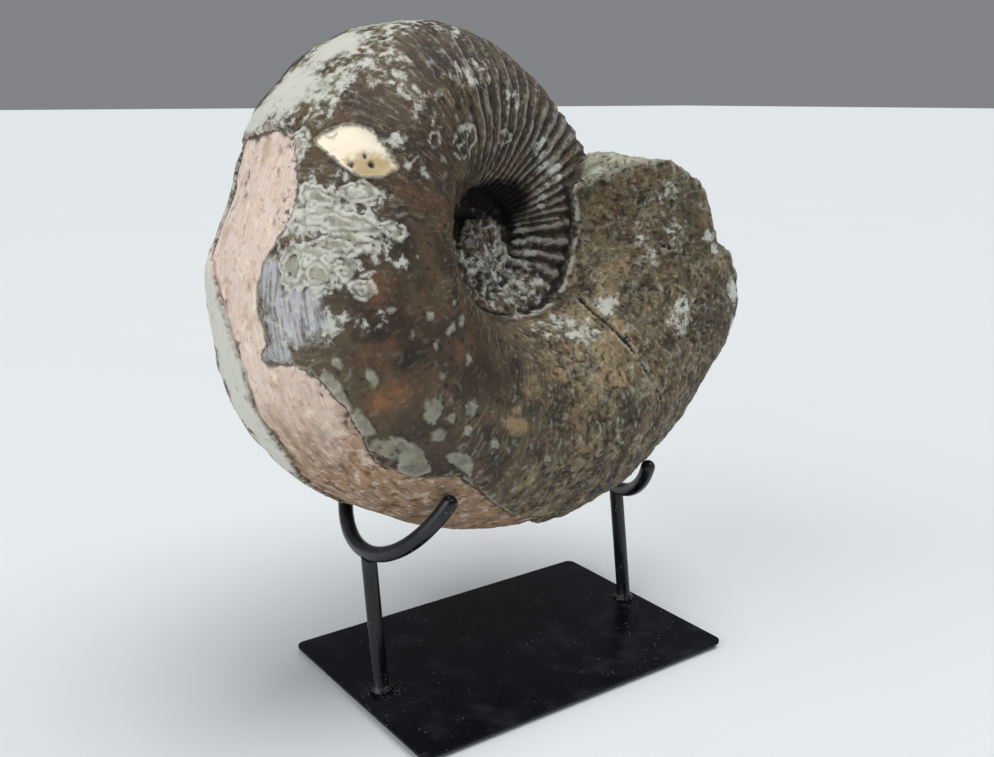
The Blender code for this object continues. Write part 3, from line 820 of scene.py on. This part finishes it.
def grow_stone(settings):
    """Three turns of whorl grown into one closed mesh, carved, then thinned where it is plain."""
    bm = bmesh.new()
    add_whorl(bm, -360.0, MOUTH_ANGLE, True)
    add_whorl(bm, -720.0, -360.0 + WHORL_OVERLAP, False)
    add_whorl(bm, -1080.0, -720.0 + WHORL_OVERLAP, False)
    bmesh.ops.create_icosphere(bm, subdivisions=4, radius=CORE_RADIUS, matrix=SHELL_FRAME)
    filling = SHELL_FRAME @ Matrix.Translation(FILLING_PLACE) @ Matrix.Diagonal((*FILLING_SIZE, 1.0))
    bmesh.ops.create_icosphere(bm, subdivisions=5, radius=1.0, matrix=filling)
    stone = finish_piece(bm, "ammonite_stone", None)
    grow = stone.modifiers.new("grow_together", "REMESH")
    grow.mode = "VOXEL"
    grow.voxel_size = settings.grain
    mesh = evaluated_mesh(stone)
    stone.modifiers.clear()
    points = mesh_points(mesh)
    places = Places(points)
    points = carve(points, mesh_normals(mesh), places, Marks(points, places))
    mesh.vertices.foreach_set("co", points.ravel())
    mesh.update()
    mesh.calc_loop_triangles()
    stone.data = mesh
    thin = stone.modifiers.new("thin", "DECIMATE")
    thin.ratio = min(1.0, settings.triangles / len(mesh.loop_triangles))
    stone.data = evaluated_mesh(stone)
    stone.modifiers.clear()
    stone.data.shade_smooth()
    return stone


def paint_attributes(mesh):
    """What the stone's finish reads: places on the shell, patches of colour, marks and painted shade."""
    points = mesh_points(mesh)
    places = Places(points)
    marks = Marks(points, places)
    keep_attribute(mesh, "along", np.radians(places.angle) * ALONG_RADIUS)
    keep_attribute(mesh, "around", np.radians(places.around) * AROUND_RADIUS)
    pale = patch_strength(points, PALE_AND_HIGHLIGHT_PATCHES)
    # The filling is painted pale, partly its own colour and partly painted light
    keep_attribute(mesh, "pale", np.maximum(pale, 0.58 * places.filling_lit))
    for name, patches in COLOUR_PATCHES.items():
        keep_attribute(mesh, name, patch_strength(points, patches))
    keep_attribute(mesh, "flaked", smooth_step(-0.0004, 0.0004, marks.flaked))
    keep_attribute(mesh, "ledge", 1.0 - smooth_step(0.0004, 0.0018, np.abs(marks.flaked)))
    low = smooth_step(*FLAKE_TURNS_TAN, places.angle + 8.0 * rough(points, 0.030, 2))
    keep_attribute(mesh, "low", low)
    keep_attribute(mesh, "ivory", smooth_step(-0.0003, 0.0003, marks.ivory))
    keep_attribute(mesh, "curls", marks.curls)
    keep_attribute(mesh, "tongues", smooth_step(0.0, 0.0015, marks.tongues))
    keep_attribute(mesh, "islands", smooth_step(-0.0002, 0.0004, marks.islands))
    keep_attribute(mesh, "rings", marks.rings)
    # The cracks attribute also carries the borings and the painted shade along the whorl seam
    keep_attribute(mesh, "cracks", np.maximum(np.maximum(marks.cracks, marks.pits), marks.seam))
    keep_attribute(mesh, "matrix", places.matrix)
    mottled = smooth_step(*MOTTLED_FROM, places.angle + 10.0 * rough(points, 0.040, 2))
    keep_attribute(mesh, "mottled", mottled)
    # Painted shade over the sunken inner whorls and in the umbilicus, kept off the crumbled filling
    painted_shade = 0.55 * smooth_step(-HOLLOW_SINKS[0], -HOLLOW_SINKS[1], -places.angle)
    painted_shade = np.maximum(painted_shade, patch_strength(points, UMBILICUS_SHADE_PATCHES)) * (1.0 - places.filling)
    keep_attribute(mesh, "painted_shade", painted_shade)
    keep_attribute(mesh, "hollow", hollowness(mesh))


# Finishes


class Finish:
    """A material's nodes being laid out, with short calls for the ones used most."""

    def __init__(self, name):
        self.material = bpy.data.materials.new(name)
        self.material.use_nodes = True
        self.tree = self.material.node_tree
        self.shader = self.tree.nodes["Principled BSDF"]
        self.place = self.node("ShaderNodeTexCoord").outputs["Object"]

    def node(self, kind, **settings):
        made = self.tree.nodes.new(kind)
        for key, value in settings.items():
            setattr(made, key, value)
        return made

    def put(self, socket, value):
        if isinstance(value, bpy.types.NodeSocket):
            self.tree.links.new(value, socket)
        elif socket.type == "RGBA":
            socket.default_value = (*value, 1.0)
        else:
            socket.default_value = value

    def attribute(self, name):
        return self.node("ShaderNodeAttribute", attribute_name=name).outputs["Fac"]

    def noise(self, size, detail=4.0, rough=0.6, warp=0.0, place=None):
        made = self.node("ShaderNodeTexNoise")
        self.put(made.inputs["Vector"], self.place if place is None else place)
        self.put(made.inputs["Scale"], 1.0 / size)
        self.put(made.inputs["Detail"], detail)
        self.put(made.inputs["Roughness"], rough)
        self.put(made.inputs["Distortion"], warp)
        return made.outputs["Fac"]

    def cells(self, size, feature="F1", place=None):
        made = self.node("ShaderNodeTexVoronoi", feature=feature)
        self.put(made.inputs["Vector"], self.place if place is None else place)
        self.put(made.inputs["Scale"], 1.0 / size)
        return made.outputs["Distance"]

    def maths(self, operation, *values):
        made = self.node("ShaderNodeMath", operation=operation)
        for socket, value in zip(made.inputs, values):
            self.put(socket, value)
        return made.outputs["Value"]

    def times(self, first, *others):
        for other in others:
            first = self.maths("MULTIPLY", first, other)
        return first

    def spread(self, value, low, high, start=0.0, stop=1.0):
        made = self.node("ShaderNodeMapRange", interpolation_type="SMOOTHSTEP")
        for name, given in (
            ("Value", value), ("From Min", low), ("From Max", high), ("To Min", start), ("To Max", stop),
        ):
            self.put(made.inputs[name], given)
        return made.outputs["Result"]

    def distance(self, place):
        made = self.node("ShaderNodeVectorMath", operation="DISTANCE")
        self.put(made.inputs[0], self.place)
        self.put(made.inputs[1], place)
        return made.outputs["Value"]

    def warped(self, size, reach):
        """Coordinates shifted about by noise, which bends a regular pattern."""
        wave = self.node("ShaderNodeTexNoise")
        self.put(wave.inputs["Vector"], self.place)
        self.put(wave.inputs["Scale"], 1.0 / size)
        centred = self.node("ShaderNodeVectorMath", operation="SUBTRACT")
        self.put(centred.inputs[0], wave.outputs["Color"])
        self.put(centred.inputs[1], (0.5, 0.5, 0.5))
        scaled = self.node("ShaderNodeVectorMath", operation="SCALE")
        self.put(scaled.inputs[0], centred.outputs["Vector"])
        self.put(scaled.inputs["Scale"], reach)
        moved = self.node("ShaderNodeVectorMath", operation="ADD")
        self.put(moved.inputs[0], self.place)
        self.put(moved.inputs[1], scaled.outputs["Vector"])
        return moved.outputs["Vector"]

    def mix(self, share, below, above):
        made = self.node("ShaderNodeMix", data_type="RGBA")
        for number, given in ((0, share), (6, below), (7, above)):
            self.put(made.inputs[number], given)
        return made.outputs[2]

    def layer(self, below, above, *shares):
        """One colour laid over another, as strongly as its shares multiplied."""
        return self.mix(self.times(*shares), below, above)

    def blend(self, share, below, above):
        made = self.node("ShaderNodeMix", data_type="FLOAT")
        for number, given in ((0, share), (2, below), (3, above)):
            self.put(made.inputs[number], given)
        return made.outputs[0]

    def stretched(self, along_share, around_share):
        """Coordinates that follow the shell, drawn out along it or round it."""
        made = self.node("ShaderNodeCombineXYZ")
        self.put(made.inputs["X"], self.maths("MULTIPLY", self.attribute("along"), along_share))
        self.put(made.inputs["Y"], self.maths("MULTIPLY", self.attribute("around"), around_share))
        return made.outputs["Vector"]

    def slanted(self):
        """Coordinates drawn out along a line that leans forward on the display side."""
        made = self.node("ShaderNodeMapping", vector_type="TEXTURE")
        self.put(made.inputs["Vector"], self.place)
        self.put(made.inputs["Rotation"], (0.0, math.radians(-52.0), 0.0))
        self.put(made.inputs["Scale"], (5.0, 1.0, 1.0))
        return made.outputs["Vector"]

    def bump(self, height, distance):
        made = self.node("ShaderNodeBump")
        self.put(made.inputs["Height"], height)
        self.put(made.inputs["Distance"], distance)
        return made.outputs["Normal"]

    def done(self, colour, roughness, normal=None):
        self.put(self.shader.inputs["Base Color"], colour)
        self.put(self.shader.inputs["Roughness"], roughness)
        if normal is not None:
            self.put(self.shader.inputs["Normal"], normal)
        return self.material


class StoneFinish(Finish):
    """The fossil's one finish: patterns, and layers of colour laid over each other."""

    def __init__(self, colours):
        super().__init__("fossil_stone")
        self.colours = colours
        self.grain = self.noise(0.0022, 5.0, 0.65)
        self.mottle = self.noise(0.012, 6.0, 0.62, 0.2)
        self.blotch = self.noise(0.022, 5.0, 0.58, 0.3)
        self.cloud = self.noise(0.045, 5.0, 0.55)
        self.chips = self.noise(0.0075, 5.0, 0.62, 0.25)
        self.across = self.noise(0.010, 5.0, 0.62, 0.3, self.stretched(3.2, 0.55))
        self.streaks = self.noise(0.007, 5.0, 0.65, 0.5, self.stretched(0.45, 2.2))
        self.mottled = self.attribute("mottled")
        self.satin = self.attribute("satin")
        self.plain = self.spread(self.satin, 0.25, 0.85, 1.0, 0.0)
        self.flaked = self.attribute("flaked")
        self.matrix = self.attribute("matrix")
        self.ivory = self.attribute("ivory")
        # Mask of the painted shade in the umbilicus
        self.painted_shade = self.spread(self.raised("painted_shade", 1.0, self.chips), 0.30, 0.75)
        self.chalk = self.spread(self.raised("pale", 0.5, self.mottle), 0.66, 0.90)
        ragged = self.spread(self.raised("pale", 1.5, self.chips), 0.40, 0.72)
        self.pale_share = self.times(ragged, self.spread(self.attribute("pale"), 0.10, 0.32))

    def raised(self, name, weight, pattern):
        """An attribute made ragged by a pattern."""
        shift = self.times(self.maths("SUBTRACT", pattern, 0.5), weight)
        return self.maths("ADD", self.attribute(name), shift)

    def brown_shell(self):
        """Dark, olive and reddish shell, pale streaks along the ribs that are partly wear and partly painted
        highlights, and iron stains.
        """
        s = self.colours
        colour = self.mix(self.spread(self.cloud, 0.40, 0.60), s.dark_shell, s.olive_shell)
        colour = self.mix(self.spread(self.blotch, 0.50, 0.64, 0.0, 0.7), colour, s.brown_shell)
        smooth = self.spread(self.satin, 0.3, 0.9)
        colour = self.layer(colour, s.dark_shell, smooth, self.spread(self.blotch, 0.60, 0.42, 0.1, 0.75))
        # Pale streaks along the ribs: partly wear, partly painted highlights
        colour = self.layer(colour, s.warm_grey, self.spread(self.across, 0.50, 0.64, 0.0, 0.65), self.plain)
        colour = self.layer(colour, s.pale_low, self.spread(self.across, 0.62, 0.74, 0.0, 0.45), self.plain)
        colour = self.layer(colour, s.dirt_and_shade, self.spread(self.mottle, 0.46, 0.34, 0.0, 0.7), self.plain)
        stain = self.spread(self.raised("rust", 1.4, self.chips), 0.30, 1.00, 0.0, 0.80)
        colour = self.mix(stain, colour, s.rust)
        stain = self.spread(self.raised("rust", 1.8, self.chips), 0.95, 1.40, 0.0, 0.75)
        colour = self.mix(stain, colour, s.orange)
        bare = self.spread(self.raised("tan", 2.2, self.mottle), 0.30, 0.85, 0.0, 0.80)
        return self.mix(bare, colour, s.tan)

    def broken_end(self, colour):
        """Close mottling on the last stretch of whorl, with veins, slanting marks and pits."""
        s = self.colours
        here = self.mottled
        patchy = self.noise(0.034, 4.0, 0.55, 0.4)
        colour = self.layer(colour, s.green_grey, self.spread(patchy, 0.52, 0.62), here, 0.60)
        colour = self.layer(colour, s.dark_shell, self.spread(patchy, 0.46, 0.36), here, 0.55)
        colour = self.layer(colour, s.tan, self.spread(self.mottle, 0.42, 0.62), here, 0.36)
        flecks = self.noise(0.0052, 5.0, 0.62, 0.2)
        colour = self.layer(colour, s.tan, self.spread(flecks, 0.52, 0.64), here, 0.36)
        colour = self.layer(colour, s.dirt_and_shade, self.spread(flecks, 0.46, 0.36), here, 0.45)
        colour = self.layer(colour, s.green_grey, self.spread(self.chips, 0.52, 0.62), here, 0.40)
        veins = self.spread(self.cells(0.017, "DISTANCE_TO_EDGE", self.warped(0.014, 0.016)), 0.10, 0.0)
        colour = self.layer(colour, s.matrix, veins, here, self.spread(self.blotch, 0.42, 0.60), 0.30)
        slanted = self.spread(self.noise(0.0060, 4.0, 0.6, 0.2, self.slanted()), 0.58, 0.68)
        colour = self.layer(colour, s.pale_low, slanted, here, 0.34)
        pits = self.spread(self.noise(0.0048, 4.0, 0.6), 0.42, 0.34)
        return self.layer(colour, s.dirt_and_shade, pits, self.maths("ADD", here, 0.2), 0.42)

    def weathered(self, colour):
        """Dark smears and painted shade on the broken end's side, chalky grey-white patches with freckles
        and painted highlights, and the lavender shell.
        """
        s = self.colours
        # Dark smears, and painted shade over the broken end's side
        smear_and_shade = self.spread(self.raised("dark", 1.2, self.mottle), 0.35, 0.85, 0.0, 0.65)
        colour = self.mix(smear_and_shade, colour, s.dirt_and_shade)
        tone = self.mix(self.spread(self.chips, 0.42, 0.60), s.green_grey, s.pale)
        tone = self.mix(self.spread(self.grain, 0.40, 0.30, 0.0, 0.5), tone, s.warm_grey)
        tone = self.mix(self.chalk, tone, s.pale)
        colour = self.layer(colour, tone, self.pale_share, 0.9)
        colour = self.layer(colour, s.olive_shell, self.spread(self.grain, 0.36, 0.28), self.chalk, 0.5)
        specks = self.times(self.spread(self.grain, 0.62, 0.70), self.spread(self.mottle, 0.54, 0.64))
        colour = self.layer(colour, s.pale, specks, self.plain, 0.45)
        violet = self.mix(self.spread(self.streaks, 0.36, 0.56, 0.15, 1.0), s.green_grey, s.lavender)
        violet = self.mix(self.spread(self.chips, 0.56, 0.66, 0.0, 0.6), violet, s.pale)
        share = self.spread(self.raised("lavender", 1.0, self.mottle), 0.35, 0.75, 0.0, 0.9)
        return self.mix(share, colour, violet)

    def drawn_marks(self, colour):
        """Suture curls, islands of grey shell and the rings of encrusting shells."""
        s = self.colours
        colour = self.layer(colour, s.pale_low, self.attribute("tongues"), 0.75)
        curls = self.spread(self.mottle, 0.38, 0.52, 0.35, 0.95)
        colour = self.layer(colour, s.pale, self.attribute("curls"), curls)
        islands = self.spread(self.mottle, 0.36, 0.60, 0.45, 0.80)
        colour = self.layer(colour, s.pale_low, self.attribute("islands"), islands)
        return self.layer(colour, s.pale, self.attribute("rings"), 0.70)

    def flaked_band(self, colour):
        """Smooth pinkish stone where the shell has come off, tan and fibrous lower down."""
        s = self.colours
        warm = self.mix(0.30, s.flaked, s.flaked_tan)
        band = self.mix(self.spread(self.streaks, 0.38, 0.66), s.flaked, warm)
        fine = self.noise(0.0045, 3.0, 0.6)
        band = self.mix(self.spread(fine, 0.56, 0.68, 0.0, 0.55), band, s.flaked_tan)
        band = self.mix(self.spread(self.blotch, 0.52, 0.66, 0.0, 0.50), band, s.flaked_tan)
        band = self.mix(self.spread(self.chips, 0.42, 0.30, 0.0, 0.50), band, s.warm_grey)
        band = self.mix(self.spread(self.mottle, 0.56, 0.66, 0.0, 0.45), band, s.ivory)
        tan_rust = self.mix(0.55, s.flaked_tan, s.rust)
        fibres = self.mix(self.spread(self.streaks, 0.36, 0.62), s.flaked_tan, tan_rust)
        fibres = self.mix(self.spread(self.chips, 0.50, 0.64, 0.0, 0.7), fibres, s.flaked)
        fibres = self.mix(self.spread(self.mottle, 0.50, 0.36, 0.0, 0.90), fibres, s.brown_shell)
        fibres = self.mix(self.spread(self.blotch, 0.50, 0.62, 0.0, 0.40), fibres, s.warm_grey)
        band = self.mix(self.attribute("low"), band, fibres)
        colour = self.mix(self.flaked, colour, band)
        ledge = self.spread(self.mottle, 0.38, 0.58, 0.25, 0.8)
        return self.layer(colour, s.dirt_and_shade, self.attribute("ledge"), ledge)

    def mouth_stone(self, colour):
        """Grey-green stone that fills the broken mouth."""
        s = self.colours
        bands = self.noise(0.009, 4.0, 0.6, 0.3)
        stone = self.mix(self.spread(bands, 0.42, 0.62, 0.0, 0.6), s.matrix, s.green_grey)
        stone = self.mix(self.spread(self.blotch, 0.48, 0.62, 0.0, 0.45), stone, s.warm_grey)
        stone = self.mix(self.spread(self.chips, 0.42, 0.32, 0.0, 0.7), stone, s.dark_shell)
        return self.mix(self.matrix, colour, stone)

    def grooves_and_ridges(self, colour):
        """Dirt and painted shade in the grooves, and pale wear on the ridges."""
        s = self.colours
        hollow = self.attribute("hollow")
        clean = self.spread(self.chalk, 0.0, 1.0, 1.0, 0.5)
        # Grooves darkened: dirt together with painted shade
        colour = self.layer(colour, s.dirt_and_shade, self.spread(hollow, 0.10, 0.80, 0.0, 0.80), clean)
        rough = self.spread(self.satin, 0.25, 0.85, 1.0, 0.3)
        return self.layer(colour, s.pale, self.spread(hollow, -0.25, -0.90, 0.0, 0.30), rough)

    def ivory_and_cracks(self, colour):
        """The ivory patch with its worn side, the cracks with the painted shade along the whorl seam, and
        the painted shade deep in the umbilicus.
        """
        s = self.colours
        worn = self.spread(self.raised("worn", 1.6, self.chips), 0.35, 0.95, 0.0, 0.85)
        colour = self.mix(self.ivory, colour, self.mix(worn, s.ivory, s.ivory_worn))
        colour = self.layer(colour, s.green_grey, self.attribute("rings"), self.ivory, 0.6)
        # Dark cracks and borings, and painted shade along the whorl seam
        colour = self.layer(colour, s.dirt_and_shade, self.attribute("cracks"), 0.92)
        # Painted shade deep in the umbilicus
        return self.layer(colour, s.shade, self.painted_shade, 0.94)

    def gloss(self):
        soft = self.maths("MAXIMUM", self.maths("MAXIMUM", self.flaked, self.pale_share), self.matrix)
        roughness = self.blend(self.mottled, self.spread(self.mottle, 0.3, 0.7, 0.36, 0.56), 0.66)
        roughness = self.blend(soft, roughness, 0.78)
        roughness = self.blend(self.ivory, roughness, 0.5)
        return self.blend(self.painted_shade, roughness, 1.0)

    def relief(self):
        height = self.maths("ADD", self.times(self.grain, 0.7), self.times(self.chips, 0.8))
        height = self.maths("ADD", height, self.times(self.across, 0.5))
        height = self.times(height, self.spread(self.satin, 0.3, 0.9, 1.0, 0.45))
        smooth = self.maths("ADD", self.times(self.grain, 0.4), self.times(self.streaks, 0.6))
        height = self.blend(self.maths("MAXIMUM", self.flaked, self.chalk), height, smooth)
        return self.blend(self.ivory, height, self.times(self.grain, 0.15))

    def finished(self):
        colour = self.brown_shell()
        for laid_on in (
            self.broken_end, self.weathered, self.drawn_marks, self.flaked_band,
            self.mouth_stone, self.grooves_and_ridges, self.ivory_and_cracks,
        ):
            colour = laid_on(colour)
        self.put(self.shader.inputs["Specular IOR Level"], self.colours.sheen)
        return self.done(colour, self.gloss(), self.bump(self.relief(), 0.0013))


def paint_finish(s, name, gloss):
    """Satin black paint with a little orange peel, dust specks, rub marks and weld spatter."""
    f = Finish(name)
    peel = f.noise(0.0016, 2.0, 0.5)
    smudge = f.noise(0.030, 5.0, 0.6)
    dust = f.times(f.spread(f.cells(0.0055), 0.13, 0.06), f.spread(f.noise(0.035, 3.0), 0.48, 0.58))
    near = [f.spread(f.distance((*foot, PLATE_TOP)), 0.024, 0.008) for foot in POST_FEET.values()]
    patchy = f.times(f.maths("MAXIMUM", *near), f.spread(f.noise(0.006, 2.0), 0.38, 0.52))
    spatter = f.times(f.spread(f.cells(0.0024), 0.34, 0.14), patchy)
    colour = f.mix(f.spread(smudge, 0.45, 0.75, 0.0, 0.06), s.paint, s.dust)
    colour = f.mix(f.maths("MAXIMUM", dust, spatter), colour, s.dust)
    roughness = f.spread(smudge, 0.35, 0.7, 0.24, 0.38)
    f.put(f.shader.inputs["Specular IOR Level"], gloss)
    height = f.maths("ADD", f.times(peel, 0.12), f.times(spatter, 1.2))
    return f.done(colour, roughness, f.bump(height, 0.001))


def rubber_finish(s):
    f = Finish("black_rubber")
    grain = f.noise(0.0008, 3.0)
    colour = f.mix(f.spread(grain, 0.4, 0.7, 0.0, 0.3), s.rubber, (0.06, 0.06, 0.06))
    return f.done(colour, 0.8, f.bump(grain, 0.0001))


def floor_finish(s):
    f = Finish("pale_floor")
    cloud = f.noise(0.4, 2.0)
    colour = f.mix(f.spread(cloud, 0.3, 0.7, 0.0, 0.05), s.floor, (0.6, 0.62, 0.64))
    f.put(f.shader.inputs["Specular IOR Level"], 0.1)
    return f.done(colour, 0.6)


# The stand


def cradle_point(cradle, sweep):
    """The centre of the bar at a sweep angle, negative on the near arm."""
    radius = cradle["radius"]
    roll = math.radians(cradle["roll"])
    heading = math.radians(cradle["heading"])
    lean = math.radians(cradle["lean"])
    along = radius * math.sin(sweep)
    rise = radius * (1 - math.cos(sweep))
    across = along * math.cos(roll) - rise * math.sin(roll)
    height = along * math.sin(roll) + rise * math.cos(roll)
    chord = Vector((-math.sin(heading), math.cos(heading), 0.0))
    outward = Vector((math.cos(heading), math.sin(heading), 0.0))
    upward = Vector((0.0, 0.0, 1.0)) * math.cos(lean) + outward * math.sin(lean)
    return Vector(cradle["lowest"]) + chord * across + upward * height


def cradle_stations(cradle, steps):
    """Points and bar shares along a cradle, with a dome at each end."""
    near = -math.radians(cradle["near_sweep"])
    far = math.radians(cradle["far_sweep"])
    dome = [math.radians(turn) for turn in range(DOME_STEP, 90, DOME_STEP)]
    ends = [(ROD_RADIUS * math.sin(turn), math.cos(turn)) for turn in dome]
    radius = cradle["radius"]
    stations = [(cradle_point(cradle, near - reach / radius), share) for reach, share in reversed(ends)]
    for step in range(steps + 1):
        stations.append((cradle_point(cradle, near + (far - near) * step / steps), 1.0))
    stations += [(cradle_point(cradle, far + reach / radius), share) for reach, share in ends]
    return stations


def make_cradle(end, settings, material):
    """A smooth round bar bent to its arc, as one closed mesh."""
    name = end + "_cradle_bar"
    curve = bpy.data.curves.new(name, "CURVE")
    curve.dimensions = "3D"
    curve.bevel_depth = ROD_RADIUS
    curve.bevel_resolution = settings.bar_sides // 4 - 1
    curve.use_fill_caps = True
    stations = cradle_stations(CRADLES[end], settings.arc_steps)
    spline = curve.splines.new("POLY")
    spline.points.add(len(stations) - 1)
    for point, (place, share) in zip(spline.points, stations):
        point.co = (*place, 1.0)
        point.radius = share
    spline.use_smooth = True
    guide = bpy.data.objects.new(name + "_guide", curve)
    bpy.context.scene.collection.objects.link(guide)
    bm = bmesh.new()
    bm.from_mesh(evaluated_mesh(guide))
    bpy.data.objects.remove(guide, do_unlink=True)
    bmesh.ops.remove_doubles(bm, verts=bm.verts, dist=0.00002)
    return finish_piece(bm, name, material, 60.0)


def make_post(end, settings, material):
    """A leaning post whose foot runs out into a lumpy weld bead."""
    bottom = Vector((*POST_FEET[end], PLATE_TOP + GAP))
    top = Vector(CRADLES[end]["lowest"])
    drop = top - bottom
    length = drop.length - ROD_RADIUS - GAP
    rings = [*WELD_PROFILE]
    for step in range(1, POST_LENGTHS + 1):
        rings.append((WELD_HEIGHT + (length - WELD_HEIGHT) * step / POST_LENGTHS, ROD_RADIUS))
    bm = bmesh.new()
    verts = bmesh.ops.create_circle(bm, cap_ends=True, segments=POST_SIDES, radius=WELD_RADIUS)["verts"]
    lean = (drop.x / drop.z, drop.y / drop.z)
    for number, (height, radius) in enumerate(rings):
        if number:
            verts = extrude_ring(bm, verts)
        for index, vert in enumerate(verts):
            turn = 2.0 * math.pi * index / len(verts)
            around = Vector((math.cos(turn), math.sin(turn), height * 60 + len(end)))
            bead = 0.0013 * noise.noise(around * 5) + 0.0006 * noise.noise(around * 13)
            reach = radius + (bead if height < WELD_HEIGHT else 0.0)
            rise = height * drop.z / drop.length
            if number == len(rings) - 1:
                aside = min(0.8, abs(math.cos(turn - math.radians(CRADLES[end]["heading"]))))
                rise += ROD_RADIUS * (1.0 - math.sqrt(1.0 - aside * aside))
            vert.co = bottom + Vector((
                reach * math.cos(turn) + lean[0] * rise, reach * math.sin(turn) + lean[1] * rise, rise
            ))
    bm.faces.new(verts)
    return finish_piece(bm, end + "_post_bar", material, 60.0)


# The add-on


class AMMONITE_OT_stone(bpy.types.Operator):
    """Grow, carve and colour the fossil"""

    bl_idname = "ammonite.stone"
    bl_label = "Make the stone"

    def execute(self, context):
        settings = context.scene.ammonite_stone
        stone = grow_stone(settings)
        paint_attributes(stone.data)
        stone.data.materials.append(StoneFinish(settings).finished())
        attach(stone, "root")
        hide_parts("ammonite")
        return {"FINISHED"}


class AMMONITE_OT_bars(bpy.types.Operator):
    """Make the two posts and the two cradles"""

    bl_idname = "ammonite.bars"
    bl_label = "Make the bars"

    def execute(self, context):
        settings = context.scene.ammonite_stand
        paint = paint_finish(settings, "black_paint", settings.bar_gloss)
        for end in ("front", "rear"):
            for piece, node in (
                (make_post(end, settings, paint), end + "_post"),
                (make_cradle(end, settings, paint), end + "_cradle"),
            ):
                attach(piece, "root")
                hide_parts(node)
        return {"FINISHED"}


class AMMONITE_OT_plate(bpy.types.Operator):
    """Finish the base plate and its feet"""

    bl_idname = "ammonite.plate"
    bl_label = "Finish the plate"

    def execute(self, context):
        settings = context.scene.ammonite_stand
        paint = paint_finish(settings, "plate_paint", settings.plate_gloss)
        rubber = rubber_finish(settings)
        for name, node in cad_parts.items():
            if name == "base_plate":
                set_material(node, paint)
            if name.startswith("foot_"):
                set_material(node, rubber)
        return {"FINISHED"}


def set_material(item, material):
    item.data.materials.clear()
    item.data.materials.append(material)


def add_light(name, place, spread, strength):
    """A soft light as wide in the sky as its spread in degrees, shining from its place to the stand."""
    light = bpy.data.lights.new(name, "SUN")
    light.angle = math.radians(spread)
    light.energy = strength
    item = bpy.data.objects.new(name, light)
    bpy.context.scene.collection.objects.link(item)
    item.location = place
    item.rotation_euler = (-Vector(place)).to_track_quat("-Z", "Y").to_euler()


class AMMONITE_OT_stage(bpy.types.Operator):
    """Make the floor, the lights and the camera"""

    bl_idname = "ammonite.stage"
    bl_label = "Make the stage"

    def execute(self, context):
        settings = context.scene.ammonite_stage
        bm = bmesh.new()
        bmesh.ops.create_grid(bm, x_segments=1, y_segments=1, size=FLOOR_REACH)
        bmesh.ops.translate(bm, vec=(0.0, 0.0, FLOOR_HEIGHT - GAP / 3), verts=bm.verts)
        floor = finish_piece(bm, "floor", floor_finish(settings))
        add_light("window", WINDOW_PLACE, WINDOW_SPREAD, settings.window)
        add_light("ceiling", CEILING_PLACE, CEILING_SPREAD, settings.ceiling)
        world = bpy.data.worlds.new("studio_air")
        context.scene.world = world
        world.use_nodes = True
        air = world.node_tree.nodes["Background"]
        air.inputs["Color"].default_value = AIR_COLOUR
        air.inputs["Strength"].default_value = settings.air
        lens = bpy.data.cameras.new("camera")
        lens.sensor_fit = "HORIZONTAL"
        lens.sensor_width = SENSOR_WIDTH
        lens.lens = SENSOR_WIDTH * FOCAL_PIXELS / PHOTO_WIDTH
        lens.clip_end = VIEW_REACH
        camera = bpy.data.objects.new("camera", lens)
        context.scene.collection.objects.link(camera)
        camera.location = CAMERA_PLACE
        camera.rotation_euler = (math.radians(90.0 - CAMERA_DIP), 0.0, math.radians(CAMERA_HEADING))
        context.scene.camera = camera
        context.scene.view_settings.view_transform = "Standard"
        return {"FINISHED"}


OPERATORS = (AMMONITE_OT_stage, AMMONITE_OT_bars, AMMONITE_OT_plate, AMMONITE_OT_stone)


class AMMONITE_PT_panel(bpy.types.Panel):
    """Buttons for each piece and the sizes and colours they use"""

    bl_label = "Ammonite"
    bl_idname = "AMMONITE_PT_panel"
    bl_space_type = "VIEW_3D"
    bl_region_type = "UI"
    bl_category = "Ammonite"

    def draw(self, context):
        for operator in OPERATORS:
            self.layout.operator(operator.bl_idname)
        for name in SETTINGS:
            box = self.layout.box()
            group = getattr(context.scene, name)
            for key in type(group).__annotations__:
                box.prop(group, key)


SETTINGS = {
    "ammonite_stone": StoneSettings,
    "ammonite_stand": StandSettings,
    "ammonite_stage": StageSettings,
}
CLASSES = (*SETTINGS.values(), *OPERATORS, AMMONITE_PT_panel)


def register():
    for item in CLASSES:
        bpy.utils.register_class(item)
    for name, group in SETTINGS.items():
        setattr(bpy.types.Scene, name, PointerProperty(type=group))


def unregister():
    for name in SETTINGS:
        delattr(bpy.types.Scene, name)
    for item in reversed(CLASSES):
        bpy.utils.unregister_class(item)


def main():
    register()
    bpy.ops.ammonite.stage()
    bpy.ops.ammonite.bars()
    bpy.ops.ammonite.plate()
    bpy.ops.ammonite.stone()


if __name__ == "__main__":
    main()
